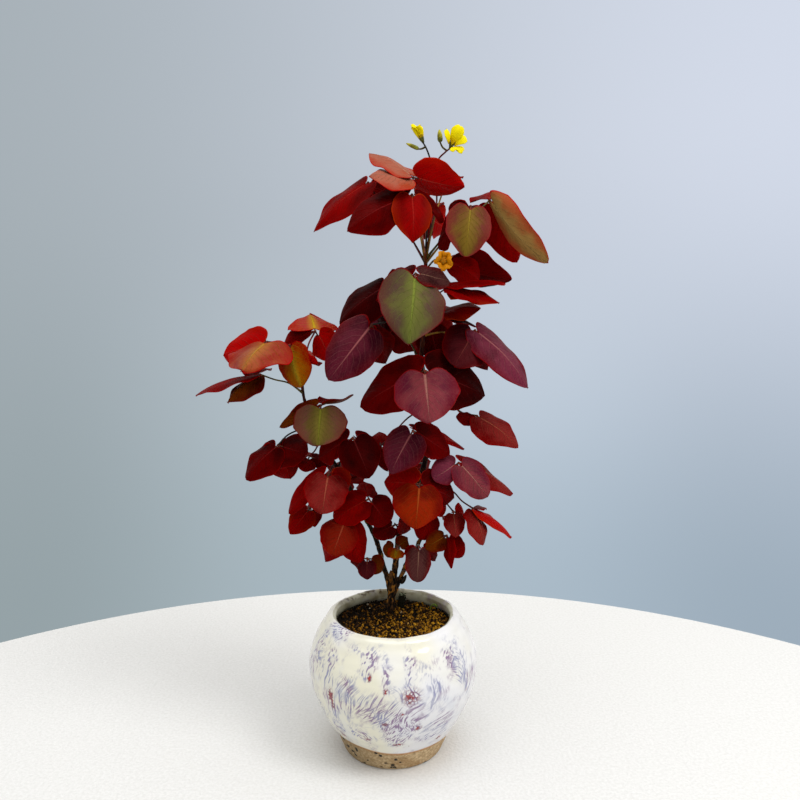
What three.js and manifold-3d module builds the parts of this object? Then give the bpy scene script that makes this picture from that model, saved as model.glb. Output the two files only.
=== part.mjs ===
import * as THREE from "three";
import { mergeGeometries, mergeVertices } from "three/addons/utils/BufferGeometryUtils.js";
import Module from "manifold-3d";

// A fire fern kept as a small bonsai in a round glazed pot.
// Millimetres, +Z up, the front of the plant towards -Y, the origin at the middle of the pot's foot.

const wasm = await Module();
wasm.setup();

const FRONT = new THREE.Vector3(0, -1, 0);
const UP = new THREE.Vector3(0, 0, 1);

// Directions spread evenly all round
const COMPASS_COUNT = 700;
const COMPASS = Array.from({ length: COMPASS_COUNT }, (_, k) => {
  const height = 1 - (2 * k + 1) / COMPASS_COUNT;
  const around = k * Math.PI * (3 - Math.sqrt(5));
  const level = Math.sqrt(1 - height ** 2);
  return new THREE.Vector3(level * Math.cos(around), level * Math.sin(around), height);
});

// Fit between pieces that touch, and how close corners are before they are one
const GAP = 0.3;
const WELD = 1e-4;

// Pot, turned on a wheel: [radius, height] from the foot up the outside, over the lip and down the inside
const POT_OUTSIDE = [
  [22.6, 0], [23.6, 1], [28.3, 11.5], [33.2, 19.5], [37.4, 29], [39.8, 39], [39.7, 46], [37.8, 53],
  [34.6, 59], [30.8, 64.6],
];
const POT_LIP = [[28.6, 66.2], [26.9, 65.2]];
const POT_INSIDE = [[26.6, 62.6], [32, 54.5], [35.8, 45], [35.2, 34], [29.6, 20.5], [18, 7.4]];
const POT_FLOOR = 6;
const POT_SIDES = 30;
const DRAIN_RADIUS = 2.6;
const DRAIN_RING = 11;
const DRAIN_COUNT = 3;

// Soil: it fills the pot to a little under the lip
const SOIL_LEVEL = 60.6;
const SOIL_MOUND = 1.8;
const SOIL_MOUND_REACH = 15;
const SOIL_GRAIN = 0.75;
const SOIL_WALL_CLEAR = 0.45;
const SOIL_RINGS = 9;

// Trunk and the three stems that it divides into, as points up each centre line
const TRUNK = { points: [[-0.6, 12, 46], [-0.8, 12, 60], [-1, 12, 67], [-0.8, 12.3, 72], [-0.5, 12, 77]], root: 2.7, tip: 2 };
const STEMS = {
  leader: {
    points: [
      [-0.6, 12, 69], [0.5, 11, 80], [1.5, 10, 89], [2.5, 9, 98], [4, 8, 107.5], [7, 6, 119], [11.5, 5, 127.5],
      [15, 5, 137.5], [16, 5, 152.5], [14.5, 4, 166.5], [13, 3, 184.5], [14, 3, 198], [15.5, 3, 212.5],
      [15, 4, 225], [14.5, 4, 233],
    ],
    root: 1.7,
    tip: 1,
  },
  left: {
    points: [
      [-1, 12, 69], [-3, 11, 79], [-5, 10, 85.5], [-6.5, 8, 93.5], [-9, 7, 101.5], [-13, 6, 110], [-19, 4, 123],
      [-25.5, 2, 135], [-31.5, 1, 145], [-37, 0, 156], [-39.5, -1, 165], [-41, 0, 173], [-40.5, 2, 178.5],
    ],
    root: 1.5,
    tip: 0.7,
  },
  right: {
    points: [
      [-0.3, 12, 69], [2.5, 12, 75.5], [4.5, 12, 80.5], [7, 13, 86], [11.5, 13, 93.5], [15, 13, 102],
      [18.5, 12, 111], [25, 11, 122.5], [30, 9, 132],
    ],
    root: 1.4,
    tip: 0.65,
  },
};
const TRUNK_HOLE = { radius: 3.4, floor: 45.6, length: 30 };

// Leaves
const STALK_RADIUS = 0.5;
const STALK_ARCH = 0.14;
const STALK_STEP = 10;
const HUB_CLEAR = 1.1;
const HUB_RADIUS = 0.65;
const HUB_HALF = 0.45;
const LEAFLET_STALK = 1.9;
const LEAFLET_CLEAR = 0.55;
const STALK_CLEAR = 1.1;
const STALK_REACH = 26;
const STALK_SAMPLES = 20;

// A stalk comes to its hub straight over ARRIVAL_LENGTH, or over ARRIVAL_SHARE of a short stalk,
// and keeps a way whose likeness to that of any leaflet's corner is under CROWDED
const ARRIVAL_LENGTH = 7;
const ARRIVAL_SHARE = 0.4;
const CROWDED = 0.86;
const CROWDED_PRICE = 12;

// How firmly an earlier leaflet, or the stalk, keeps its place while its neighbour bends clear
const EARLIER_FIRMNESS = 3;
const STALK_FIRMNESS = 500;
const LEAST_LEAN = 0.3;
const SETTLE_ROUNDS = 12;
const BLADE_THICKNESS = 0.8;
const BLADE_BOW = 0.09;
const BLADE_FOLD = 0.32;
const BLADE_WAVE = 0.035;
const BROAD_GRID = { rows: [0.17, 0.48, 0.79], columns: [-1, -0.5, 0, 0.5, 1] };
const MIDDLE_GRID = { rows: [0.5], columns: [-1, -0.5, 0, 0.5, 1] };
const SMALL_GRID = { rows: [0.5], columns: [-1, 0, 1] };
const BROAD_WIDTH = 16;
const MIDDLE_WIDTH = 10;

// Each leaf: name, the stem that carries it, how far up that stem, the hub where its three leaflets meet,
// and for each leaflet the tip measured from the hub, the width, and the turn about the midrib in degrees
const LEAVES = [
  ["top_cap", "leader", 0.985, [9, 2, 265.8], [[23, 3, -3.5, 20, 40], [-19, -8, -0.5, 20, 55], [-19.5, 11, 12, 17, 60]]],
  ["top_drop", "leader", 0.97, [8.5, -3, 258], [[-28, -6, -16, 22, 30], [0, -10, -21, 18, -18], [13, 5, -12, 12, -30]]],
  ["top_far_left", "leader", 0.975, [-11, 9, 264.5], [[-24, -7, -22, 18, 45], [-9, 6, -11, 16, 70], [6, 19, -13, 18, 20]]],
  ["top_olive", "leader", 0.975, [34, -4, 253], [[-3, -10, -22, 20, 0], [-10, 7, -19, 15, 40], [-5, 17, -6, 13, 0]]],
  ["top_right", "leader", 0.985, [42.8, 1, 256], [[25.5, -5, -27.5, 15, 38], [13, 2.5, -27, 17, -10], [2, 18, 5, 18, 0]]],
  ["top_back", "leader", 0.98, [25, 21, 268], [[0, 20, 1, 17, 0], [-8, 15, 0, 13, 0], [4, 16, 3, 13, 0]]],
  ["middle_green", "leader", 0.9, [10, -12, 224], [[-3, -14, -29.6, 30, 0], [-17, 9, -12, 18, 50], [14, 6, -5, 12, -45]]],
  ["middle_dark", "leader", 0.88, [-3, 6, 219], [[-21, -4, -17.5, 22, 40], [0, 4, -23, 17, 35], [9, 16, -5, 17, 0]]],
  ["right_upper", "leader", 0.92, [26, 6, 229], [[27, -6, -7.5, 18, 35], [12, -7, -8, 13, -30], [6, 20, 4, 16, 0]]],
  ["right_level", "leader", 0.87, [24.5, -6, 218.5], [[25, 0, 1.5, 15, -88], [22, -4, -7, 15, -65], [12, -10, -8, 12, -70]]],
  ["middle_purple", "leader", 0.8, [-9, -10, 202], [[-18, -12, -23, 22, 5], [6, 12, -18, 18, -20], [-6, 20, -14, 14, 10]]],
  ["middle_heart", "leader", 0.72, [14, -12, 182], [[2, -14, -21, 29, 0], [-28.5, 8, -17.5, 23, 30], [28, 13, -13, 26, -25]]],
  ["small_right", "leader", 0.62, [39, 6, 159], [[-11, -4, 0, 9, 15], [18, -10, -13, 18, -45], [5, 13, -5, 10, 0]]],
  ["right_small", "leader", 0.82, [23, 2, 207], [[16, -6, 2, 14, -60], [14, -10, -6, 8, -85], [2, 16, 2, 10, 0]]],
  ["right_mauve", "leader", 0.78, [37, 0, 199], [[23, -9, -25, 19, -45], [-10, -12, -15, 22, 10], [7, 9, -19, 18, -35]]],
  ["middle_behind", "leader", 0.8, [17, 10, 201], [[4, -5, -17, 17, -10], [-6, 4, -15, 14, 30], [12, 10, -5, 14, 0]]],
  ["left_salmon", "left", 0.97, [-56, -3, 194], [[-8, -18, -11, 31, 40], [-21.5, 8, -7, 20, 30], [-8, 15, -8, 14, 0]]],
  ["left_top", "left", 0.98, [-35, 2, 198.5], [[-4, 14, 7, 23, 0], [-17, 6, -9, 14, 35], [7, 6, -14, 15, -20]]],
  ["left_orange", "left", 1, [-46, -4, 192.5], [[6, -7, -18, 17, 20], [9, 0, -12, 10, -10], [2, 8, -2, 8, 0]]],
  ["left_low", "left", 0.93, [-60, 0, 179], [[-14, -6, -12, 18, 60], [-31, 7, -11.5, 16, 88], [-8, 18, 2, 14, 0]]],
  ["left_olive", "left", 0.85, [-32, -7, 166], [[-0.5, -10, -16.5, 24, 0], [-17.5, 5, -12, 11, 40], [14, 11, 3, 8, 80]]],
  ["low_far_left", "left", 0.78, [-53, 2, 146], [[-14, -6, -15, 17, 40], [14, -6, -3, 19, -35], [4, 8, -18, 16, -20]]],
  ["low_small_left", "left", 0.72, [-39, 6, 140], [[-2, -6, -6, 9, 0], [9, 2, -5, 8, -50], [-3, 12, -1, 8, 0]]],
  ["low_dark", "left", 0.6, [-18, -6, 151], [[-15, 0, -10, 20, 40], [8, -10, -16, 19, -10], [15, 4, -17, 15, -30]]],
  ["low_back_red", "leader", 0.58, [-6, 14, 143], [[-1, 10, 5, 10, 0], [-5, 0, -5, 12, 0], [6, 8, -7, 12, 0]]],
  ["low_crimson", "left", 0.62, [-29, -8, 135], [[-2, -10, -16, 20, 0], [8, 7, -11, 14, -30], [-18, 4, -20, 13, 30]]],
  ["low_red", "left", 0.5, [-39, 6, 115], [[-9, -6, -11, 12, 10], [2, 2, -10, 9, 0], [6, 11, 1, 10, 0]]],
  ["low_orange", "left", 0.42, [-22, -6, 112], [[-5, -12, -12, 18, 0], [7, -2, -19, 15, -20], [-10, 8, -22, 14, 30]]],
  ["low_deep", "left", 0.45, [-11, -4, 122], [[9, -8, -9, 15, -10], [-16, -3, -9, 15, 30], [-3, 12, 4, 10, 0]]],
  ["low_centre", "leader", 0.2, [1, 2, 108], [[-10, -6, -3, 10, 20], [-6, 4, -7, 8, 0], [5, 9, -3, 8, 0]]],
  ["low_gold", "leader", 0.12, [2, -1, 98], [[-6, -4, -1, 8, 0], [-1, -7, -3, 8, 0], [5, 5, 3, 7, 0]]],
  ["low_petite", "left", 0.15, [-12, -2, 93], [[0, -6, -8, 9, 0], [6, 2, -7, 10, -30], [-7, 8, -4, 9, 0]]],
  ["centre_purple", "leader", 0.5, [9, -10, 155], [[-10, -8, -18, 19, 15], [16, 4, -12, 16, -35], [23, 14, -13, 12, -70]]],
  ["right_purple", "right", 1, [30, -4, 139], [[-12, -6, -6, 14, 10], [13, -4, -15, 16, -25], [26, 8, -17, 14, -75]]],
  ["orange", "leader", 0.35, [12, -12, 131], [[-2, -12, -17, 23, 0], [-16, 8, -1, 17, 25], [16, 9, -9, 19, -25]]],
  ["right_inner", "right", 0.72, [18, 4, 113], [[-5, -6, -11, 12, 10], [7, 2, 3, 8, -60], [-6, 10, 4, 9, 0]]],
  ["right_drop", "right", 0.78, [28, 0, 115], [[1, -8, -10, 10, 0], [6, 5, -4, 8, -80], [-2, 12, -6, 8, 0]]],
  ["right_low", "right", 0.45, [25, -2, 104], [[-10, -4, -5, 10, 30], [7, -4, -9, 10, -10], [0, -8, -13, 9, 50]]],
  ["right_far", "right", 0.85, [37, -2, 117], [[4, -8, -15, 13, -50], [19, 6, -16, 12, -85], [5, 16, -4, 10, 0]]],
  ["low_purple", "right", 0.35, [12, -6, 100], [[-1, -8, -14, 12, 0], [-2, 11, -12, 11, 20], [6, 12, -9, 10, 0]]],
  ["back_top", "leader", 0.93, [16, 26, 251], [[-10, 14, -6, 18, 0], [10, 14, -5, 18, 0], [1, 18, 6, 16, 0]]],
  ["back_middle", "leader", 0.7, [1, 28, 200], [[-11, 14, -11, 22, 0], [13, 12, -12, 22, 0], [-2, 22, 6, 20, 0]]],
  ["back_heart", "leader", 0.68, [23, 28, 171], [[-12, 14, -8, 20, 0], [15, 14, -2, 20, 0], [4, 22, 4, 18, 0]]],
  ["back_left", "left", 0.92, [-44, 18, 183], [[-13, 16, 2, 18, 0], [7, 12, -1, 14, 0], [-3, 18, 5, 16, 0]]],
  ["back_low", "leader", 0.42, [7, 28, 127], [[-10, 14, 4, 18, 0], [12, 14, 2, 20, 0], [0, 12, -13, 18, 0]]],
  ["back_low_left", "left", 0.55, [-24, 24, 125], [[-10, 14, -11, 16, 0], [8, 14, 1, 16, 0], [-3, 16, 5, 16, 0]]],
];

// Flower stalks, as points from the stem to each bloom or bud
const FLOWER_STALK_RADIUS = 0.5;
const FLOWER_STALKS = [
  [[14.5, 4, 231], [15.5, 9, 243.5], [16.3, 15, 255], [17, 17, 266], [17, 15, 275], [15, 12, 280], [14, 12, 281.7]],
  [[14.7, 4.5, 231], [17, 10, 243.5], [20, 16, 255], [20, 17, 267], [20.5, 15, 275], [23.5, 12, 278], [25.2, 12, 279.4]],
  [[15, 3, 226], [18.5, -4, 230], [21.4, -12.2, 229.4]],
  [[14.7, 12, 280.4], [13, 12, 279.6], [11.9, 12, 279.5]],
  [[24.4, 12, 278.7], [23, 12, 280.3], [22.4, 12, 282.2]],
];

// Blooms and buds: [name, base, tip, length of petal, spread of the petals in degrees]
const PETALS = 5;
const PETAL_SLIMNESS = 0.55;
const PETAL_THICKNESS = 0.7;
const CUP = { length: 2.2, foot: 0.7, rim: 1.1 };
const PETAL_SEAT = { height: 0.6 * CUP.length, radius: 0.4 };
const BLOOMS = [
  { name: "flower_side", base: [13.8, 12, 282.2], facing: [-3.6, 0, 8], petal: 8.6, open: 10 },
  { name: "flower_open", base: [25.7, 12, 279.8], facing: [3.6, -6, 7], petal: 9, open: 48 },
  { name: "flower_orange", base: [21.5, -12.6, 229.3], facing: [1, -10, 1], petal: 4.2, open: 62 },
];
const BUDS = [
  { name: "bud_left", base: [11.6, 12, 279.6], tip: [6, 12, 282], radius: 1 },
  { name: "bud_right", base: [22.4, 12, 282.6], tip: [22, 12, 288], radius: 1.1 },
];

const MATERIALS = {
  glaze: new THREE.MeshStandardMaterial({ color: 0xe6e4dc, roughness: 0.18, metalness: 0 }),
  soil: new THREE.MeshStandardMaterial({ color: 0x4a3524, roughness: 0.95, metalness: 0 }),
  bark: new THREE.MeshStandardMaterial({ color: 0x3a2418, roughness: 0.75, metalness: 0 }),
  leaf: new THREE.MeshStandardMaterial({ color: 0x7d1620, roughness: 0.5, metalness: 0 }),
  petal: new THREE.MeshStandardMaterial({ color: 0xf0c818, roughness: 0.55, metalness: 0 }),
  bud: new THREE.MeshStandardMaterial({ color: 0x8f9a2c, roughness: 0.6, metalness: 0 }),
};

function vector(values) {
  return new THREE.Vector3(...values);
}

// Joining and cutting

function toSolid(geometry) {
  const bare = geometry.clone();
  for (const name of Object.keys(bare.attributes)) {
    if (name !== "position") bare.deleteAttribute(name);
  }
  const merged = mergeVertices(bare, WELD);
  const mesh = new wasm.Mesh({
    numProp: 3,
    vertProperties: new Float32Array(merged.attributes.position.array),
    triVerts: new Uint32Array(merged.index.array),
  });
  return new wasm.Manifold(mesh);
}

function toGeometry(solid) {
  const mesh = solid.getMesh();
  const geometry = new THREE.BufferGeometry();
  geometry.setAttribute("position", new THREE.BufferAttribute(new Float32Array(mesh.vertProperties), 3));
  geometry.setIndex(new THREE.BufferAttribute(new Uint32Array(mesh.triVerts), 1));
  geometry.computeVertexNormals();
  return geometry;
}

function join(geometries) {
  return toGeometry(geometries.map(toSolid).reduce((whole, piece) => whole.add(piece)));
}

function addMesh(group, name, geometry, material) {
  const mesh = new THREE.Mesh(geometry, material);
  mesh.name = name;
  group.add(mesh);
  return mesh;
}

// Pot

function turned(profile, sides) {
  const points = profile.map(([radius, height]) => new THREE.Vector2(radius, height));
  return new THREE.LatheGeometry(points, sides).rotateX(Math.PI / 2);
}

function makePot() {
  const profile = [[0, 0], ...POT_OUTSIDE, ...POT_LIP, ...POT_INSIDE, [0, POT_FLOOR]];
  let pot = toSolid(turned(profile, POT_SIDES));
  for (let k = 0; k < DRAIN_COUNT; k += 1) {
    const angle = (2 * Math.PI * k) / DRAIN_COUNT;
    const drain = new THREE.CylinderGeometry(DRAIN_RADIUS, DRAIN_RADIUS, 3 * POT_FLOOR, 10).rotateX(Math.PI / 2);
    drain.translate(DRAIN_RING * Math.cos(angle), DRAIN_RING * Math.sin(angle), 0);
    pot = pot.subtract(toSolid(drain));
  }
  return toGeometry(pot);
}

// Soil

// A repeatable rough height for a place on the soil
function grain(x, y) {
  const wave = Math.sin(x * 12.9898 + y * 78.233) * 43758.5453;
  return 2 * (wave - Math.floor(wave)) - 1;
}

function makeSoil() {
  const [[neckRadius, neckHeight], [wallRadius, wallHeight]] = POT_INSIDE;
  const shoreHeight = SOIL_LEVEL - SOIL_GRAIN;
  const up = (shoreHeight - wallHeight) / (neckHeight - wallHeight);
  const shore = [wallRadius + up * (neckRadius - wallRadius), shoreHeight - GAP];
  const wall = [shore, ...POT_INSIDE.filter(([, height]) => height < SOIL_LEVEL)];
  const side = wall.reverse().map(([radius, height]) => [radius - SOIL_WALL_CLEAR, height + GAP]);
  const rim = side[side.length - 1][0];
  const rings = Array.from({ length: SOIL_RINGS }, (_, k) => [rim * (1 - (k + 0.3) / SOIL_RINGS), SOIL_LEVEL]);
  const profile = [[0, POT_FLOOR + 2], ...side, ...rings, [0, SOIL_LEVEL]];
  const geometry = turned(profile, POT_SIDES);
  const position = geometry.attributes.position;
  const trunk = vector(TRUNK.points[1]);
  for (let k = 0; k < position.count; k += 1) {
    const x = position.getX(k);
    const y = position.getY(k);
    if (position.getZ(k) < SOIL_LEVEL - 0.01) continue;
    const near = Math.max(0, 1 - Math.hypot(x - trunk.x, y - trunk.y) / SOIL_MOUND_REACH);
    const rough = SOIL_GRAIN * grain(Math.round(x * 20) / 20, Math.round(y * 20) / 20);
    position.setZ(k, SOIL_LEVEL + SOIL_MOUND * near * near * (3 - 2 * near) + rough);
  }
  const { radius: holeRadius, floor, length } = TRUNK_HOLE;
  const hole = new THREE.CylinderGeometry(holeRadius, holeRadius, length, 12).rotateX(Math.PI / 2);
  hole.translate(TRUNK.points[0][0], TRUNK.points[0][1], floor + length / 2);
  return toGeometry(toSolid(geometry).subtract(toSolid(hole)));
}

// Stems

// A round stem of even or narrowing thickness along a smooth line
function stem(points, rootRadius, tipRadius, sides, steps) {
  const line = new THREE.CatmullRomCurve3(points);
  const frames = line.computeFrenetFrames(steps);
  const geometry = new THREE.CylinderGeometry(tipRadius, rootRadius, 1, sides, steps);
  const position = geometry.attributes.position;
  for (let k = 0; k < position.count; k += 1) {
    const step = Math.round((position.getY(k) + 0.5) * steps);
    const place = line.getPointAt(step / steps);
    place.addScaledVector(frames.normals[step], position.getX(k));
    place.addScaledVector(frames.binormals[step], -position.getZ(k));
    position.setXYZ(k, place.x, place.y, place.z);
  }
  return geometry;
}

function stemLine(name) {
  return new THREE.CatmullRomCurve3(STEMS[name].points.map(vector));
}

// The way in which a stalk comes to its hub, as seen from there: towards the stem, but between the leaflets
function arrival(toStem, leaflets) {
  const ways = leaflets.flatMap((shape) => freeCorners(shape).map((place) => place.clone().normalize()));
  const crowding = (way) => Math.max(...ways.map((other) => way.dot(other)));
  const price = (way) => 1 - way.dot(toStem) + CROWDED_PRICE * Math.max(0, crowding(way) - CROWDED);
  return COMPASS.reduce((best, way) => (price(way) < price(best) ? way : best));
}

// The centre line of a leaf's stalk: off its stem in an arch, ending just short of the hub
function stalkLine([, stemName, along, hubPlace, leaflets]) {
  const root = stemLine(stemName).getPointAt(along);
  const hub = vector(hubPlace);
  const toStem = root.clone().sub(hub);
  const reach = toStem.length();
  const way = arrival(toStem.normalize(), leaflets.map(leafletShape));
  const near = hub.clone().addScaledVector(way, Math.min(ARRIVAL_LENGTH, ARRIVAL_SHARE * reach));
  const middle = root.clone().lerp(near, 0.5).addScaledVector(UP, STALK_ARCH * reach * 0.5);
  return new THREE.CatmullRomCurve3([root, middle, near, hub.clone().addScaledVector(way, HUB_CLEAR)]);
}

function leafStalk(leaf) {
  const line = stalkLine(leaf);
  const steps = Math.max(3, Math.round(line.getLength() / STALK_STEP));
  return stem(line.points, STALK_RADIUS, STALK_RADIUS, 4, steps);
}

function makeStems() {
  const pieces = [stem(TRUNK.points.map(vector), TRUNK.root, TRUNK.tip, 8, 5)];
  for (const { points, root, tip } of Object.values(STEMS)) {
    pieces.push(stem(points.map(vector), root, tip, 6, points.length + 2));
  }
  for (const leaf of LEAVES) {
    pieces.push(leafStalk(leaf));
  }
  for (const points of FLOWER_STALKS) {
    pieces.push(stem(points.map(vector), FLOWER_STALK_RADIUS, FLOWER_STALK_RADIUS, 4, points.length + 2));
  }
  return join(pieces);
}

// Leaf blades and petals

// Half-width at a distance along the blade, as a share of the widest
function leafletSpread(along) {
  if (along < 0.28) return 1 - 0.2 * ((0.28 - along) / 0.28) ** 2;
  return 0.2 + 0.8 * Math.cos((Math.PI / 2) * ((along - 0.28) / 0.72) ** 1.3);
}

function petalSpread(along) {
  return 0.28 + 0.72 * Math.sin((Math.PI / 2) * Math.min(1, along / 0.8));
}

// Place on the blade, measured along the midrib, across it and out of its face, as shares of the length
function bladePlace(along, across, length, width, spread) {
  const lobe = -0.1 * Math.sin(Math.PI * Math.abs(across)) * (1 - along) ** 3;
  const sweep = 0.1 * across ** 2 * (1 - along) - 0.08 * across ** 2 * along ** 3;
  const side = 0.5 * width * spread(along) * across;
  const bow = 4 * BLADE_BOW * along * (1 - along) * length;
  const fold = -BLADE_FOLD * 0.5 * width * spread(along) * Math.abs(across) ** 1.2;
  const wave = BLADE_WAVE * width * Math.sin(9 * along + length) * across ** 3;
  return [(along + lobe + sweep) * length, side, bow + fold + wave];
}

// The blade's own directions: along the midrib, across it and out of its upper face
function bladeFrame(way, turn) {
  const axis = way.clone().normalize();
  const towards = Math.abs(axis.y) > 0.85 ? UP : FRONT;
  const face = towards.clone().addScaledVector(axis, -towards.dot(axis)).normalize();
  face.applyAxisAngle(axis, THREE.MathUtils.degToRad(turn));
  return { axis, face, side: face.clone().cross(axis) };
}

function gridFor(width) {
  if (width > BROAD_WIDTH) return BROAD_GRID;
  return width > MIDDLE_WIDTH ? MIDDLE_GRID : SMALL_GRID;
}

// Triangles between two rows of corners that both run from the left margin to the right one
function stitch(near, far, addFace) {
  let a = 0;
  let b = 0;
  while (a < near.length - 1 || b < far.length - 1) {
    const nextNear = a < near.length - 1 ? near[a + 1].across : Infinity;
    const nextFar = b < far.length - 1 ? far[b + 1].across : Infinity;
    const nearFirst = nextNear === nextFar ? nextNear > 0 : nextNear < nextFar;
    if (nearFirst) {
      addFace(near[a], far[b], near[a + 1]);
      a += 1;
    } else {
      addFace(near[a], far[b], far[b + 1]);
      b += 1;
    }
  }
}

function bladePoint({ length, width, axis, side, face, stalk, spread }, along, across) {
  const [forward, sideways, out] = bladePlace(along, across, length, width, spread);
  const place = axis.clone().multiplyScalar(stalk + forward);
  return place.addScaledVector(side, sideways).addScaledVector(face, out);
}

// The corners of a blade as it would lie with nothing beside it
function freeCorners(shape) {
  const { rows, columns } = gridFor(shape.width);
  const corners = [0, ...rows].flatMap((along) => columns.map((across) => bladePoint(shape, along, across)));
  return [...corners, bladePoint(shape, 1, 0)];
}

// How far a blade's corner has to bend out of its own face to stay on the plane's positive side
function bend(place, plane, face, clear) {
  const short = clear - plane.dot(place);
  if (short <= 0) return 0;
  const lean = plane.dot(face);
  return short / (Math.sign(lean || 1) * Math.max(Math.abs(lean), LEAST_LEAN));
}

// The plane through the hub that parts a blade from its neighbour with the least bending
function partingPlane(mine, neighbour) {
  const price = (plane) => {
    const away = plane.clone().negate();
    let total = 0;
    for (const place of mine.corners) total += mine.firmness * bend(place, plane, mine.face, LEAFLET_CLEAR) ** 2;
    for (const place of neighbour.corners) {
      total += neighbour.firmness * bend(place, away, neighbour.face, neighbour.clear) ** 2;
    }
    return total;
  };
  return COMPASS.map((plane) => [price(plane), plane]).reduce((best, next) => (next[0] < best[0] ? next : best))[1];
}

// Moves a blade's corner to the positive side of all its planes, first by bending and then by the shortest way
function settle(place, planes, face) {
  for (const plane of [...planes, ...planes]) {
    place.addScaledVector(face, bend(place, plane, face, LEAFLET_CLEAR));
  }
  for (let round = 0; round < SETTLE_ROUNDS; round += 1) {
    for (const plane of planes) {
      place.addScaledVector(plane, Math.max(0, LEAFLET_CLEAR - plane.dot(place)));
    }
  }
  return place;
}

// One thin blade on a short stalk that comes from the origin, or from the four corners of a hub's side
function blade({ planes = [], root = null, ...shape }) {
  const { face, side, width, thickness, spread } = shape;
  const half = thickness / 2;
  const slim = (2 * half) / (width * spread(0));
  const { rows, columns } = gridFor(width);
  const places = [];
  const corner = (across, place) => {
    places.push(place);
    return { across, index: places.length - 1 };
  };
  const row = (along, acrosses) => acrosses.map((across) => {
    return corner(across, settle(bladePoint(shape, along, across), planes, face));
  });
  const start = [-1, 1].map((k) => corner(k * slim, side.clone().multiplyScalar(k * half)));
  const left = columns.filter((across) => across < 0);
  const right = columns.filter((across) => across > 0);
  const base = row(0, [...left, -slim, slim, ...right]);
  const inner = rows.map((along) => row(along, columns));
  const end = row(1, [0]);
  const count = places.length;
  const triangles = [];
  const addFace = (a, b, c) => {
    triangles.push(a.index, b.index, c.index, count + a.index, count + c.index, count + b.index);
  };
  stitch(start, [base[left.length], base[left.length + 1]], addFace);
  [base, ...inner].forEach((near, k) => stitch(near, [...inner, end][k], addFace));
  const leftEdge = [...base.slice(0, left.length + 1).reverse(), ...inner.map((corners) => corners[0])];
  const rightEdge = [...base.slice(left.length + 1), ...inner.map((corners) => corners[corners.length - 1])];
  const rim = [start[0], ...leftEdge, ...end, ...rightEdge.reverse(), start[1]];
  rim.forEach(({ index: from }, k) => {
    if (root && k === rim.length - 1) return;
    const to = rim[(k + 1) % rim.length].index;
    triangles.push(from, count + from, count + to, from, count + to, to);
  });
  const upper = places.map((place) => place.clone().addScaledVector(face, half));
  const lower = places.map((place) => place.clone().addScaledVector(face, -half));
  if (root) [upper[0], upper[1], lower[0], lower[1]] = root;
  const geometry = new THREE.BufferGeometry();
  const flat = [...upper, ...lower].flatMap((place) => place.toArray());
  geometry.setAttribute("position", new THREE.Float32BufferAttribute(flat, 3));
  geometry.setIndex(triangles);
  return geometry;
}

// The small three-sided hub of a leaf: a post between each two leaflets, each with an upper and a lower end
function hubPosts(axes) {
  const normal = new THREE.Vector3();
  axes.forEach((axis, k) => normal.add(axis.clone().cross(axes[(k + 1) % 3])));
  normal.normalize();
  const first = axes[0].clone().projectOnPlane(normal).normalize();
  const second = normal.clone().cross(first);
  const bearing = (axis) => (Math.atan2(axis.dot(second), axis.dot(first)) + 2 * Math.PI) % (2 * Math.PI);
  const order = [0, 1, 2].sort((a, b) => bearing(axes[a]) - bearing(axes[b]));
  const posts = order.map((leaflet, k) => {
    const from = bearing(axes[leaflet]);
    const to = bearing(axes[order[(k + 1) % 3]]) + (k === 2 ? 2 * Math.PI : 0);
    const middle = (from + to) / 2;
    const foot = first.clone().multiplyScalar(HUB_RADIUS * Math.cos(middle));
    foot.addScaledVector(second, HUB_RADIUS * Math.sin(middle));
    return [1, -1].map((end) => foot.clone().addScaledVector(normal, end * HUB_HALF));
  });
  return { normal, order, posts };
}

function leafletShape([x, y, z, width, turn]) {
  const tip = new THREE.Vector3(x, y, z);
  const size = { length: tip.length() - LEAFLET_STALK, width, stalk: LEAFLET_STALK, thickness: BLADE_THICKNESS };
  return { ...bladeFrame(tip, turn), ...size, spread: leafletSpread };
}

// The planes that keep each leaflet clear of the other two and of the stalk
function leafletPlanes(shapes, stalkPlaces) {
  const sides = shapes.map((shape, k) => (
    { corners: freeCorners(shape), face: shape.face, clear: LEAFLET_CLEAR, firmness: EARLIER_FIRMNESS ** (2 - k) }
  ));
  const planes = shapes.map(() => []);
  for (const [first, second] of [[0, 1], [0, 2], [1, 2]]) {
    const plane = partingPlane(sides[first], sides[second]);
    planes[first].push(plane);
    planes[second].push(plane.clone().negate());
  }
  sides.forEach((mine, k) => {
    const stalk = { corners: stalkPlaces, face: mine.face, clear: STALK_CLEAR, firmness: STALK_FIRMNESS };
    planes[k].push(partingPlane({ ...mine, firmness: 1 }, stalk));
  });
  return planes;
}

// Three leaflets on their short stalks, measured from the hub that they share
function makeLeaf(leaf) {
  const [, , , hubPlace, leaflets] = leaf;
  const line = stalkLine(leaf);
  const stalkPlaces = line.getSpacedPoints(STALK_SAMPLES).map((place) => place.sub(vector(hubPlace)));
  const shapes = leaflets.map(leafletShape);
  const planes = leafletPlanes(shapes, stalkPlaces.filter((place) => place.length() < STALK_REACH));
  const { normal, order, posts } = hubPosts(shapes.map((shape) => shape.axis));
  const pieces = order.map((leaflet, k) => {
    const shape = shapes[leaflet];
    const after = posts[k];
    const before = posts[(k + 2) % 3];
    const upright = shape.face.dot(normal) > 0;
    const root = upright ? [before[0], after[0], before[1], after[1]] : [after[1], before[1], after[0], before[0]];
    return blade({ ...shape, planes: planes[leaflet], root });
  });
  const hub = new THREE.BufferGeometry();
  const ends = posts.flat().flatMap((place) => place.toArray());
  hub.setAttribute("position", new THREE.Float32BufferAttribute(ends, 3));
  hub.setIndex([0, 2, 4, 5, 3, 1]);
  return mergeVertices(mergeGeometries([hub, ...pieces]), WELD);
}

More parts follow.
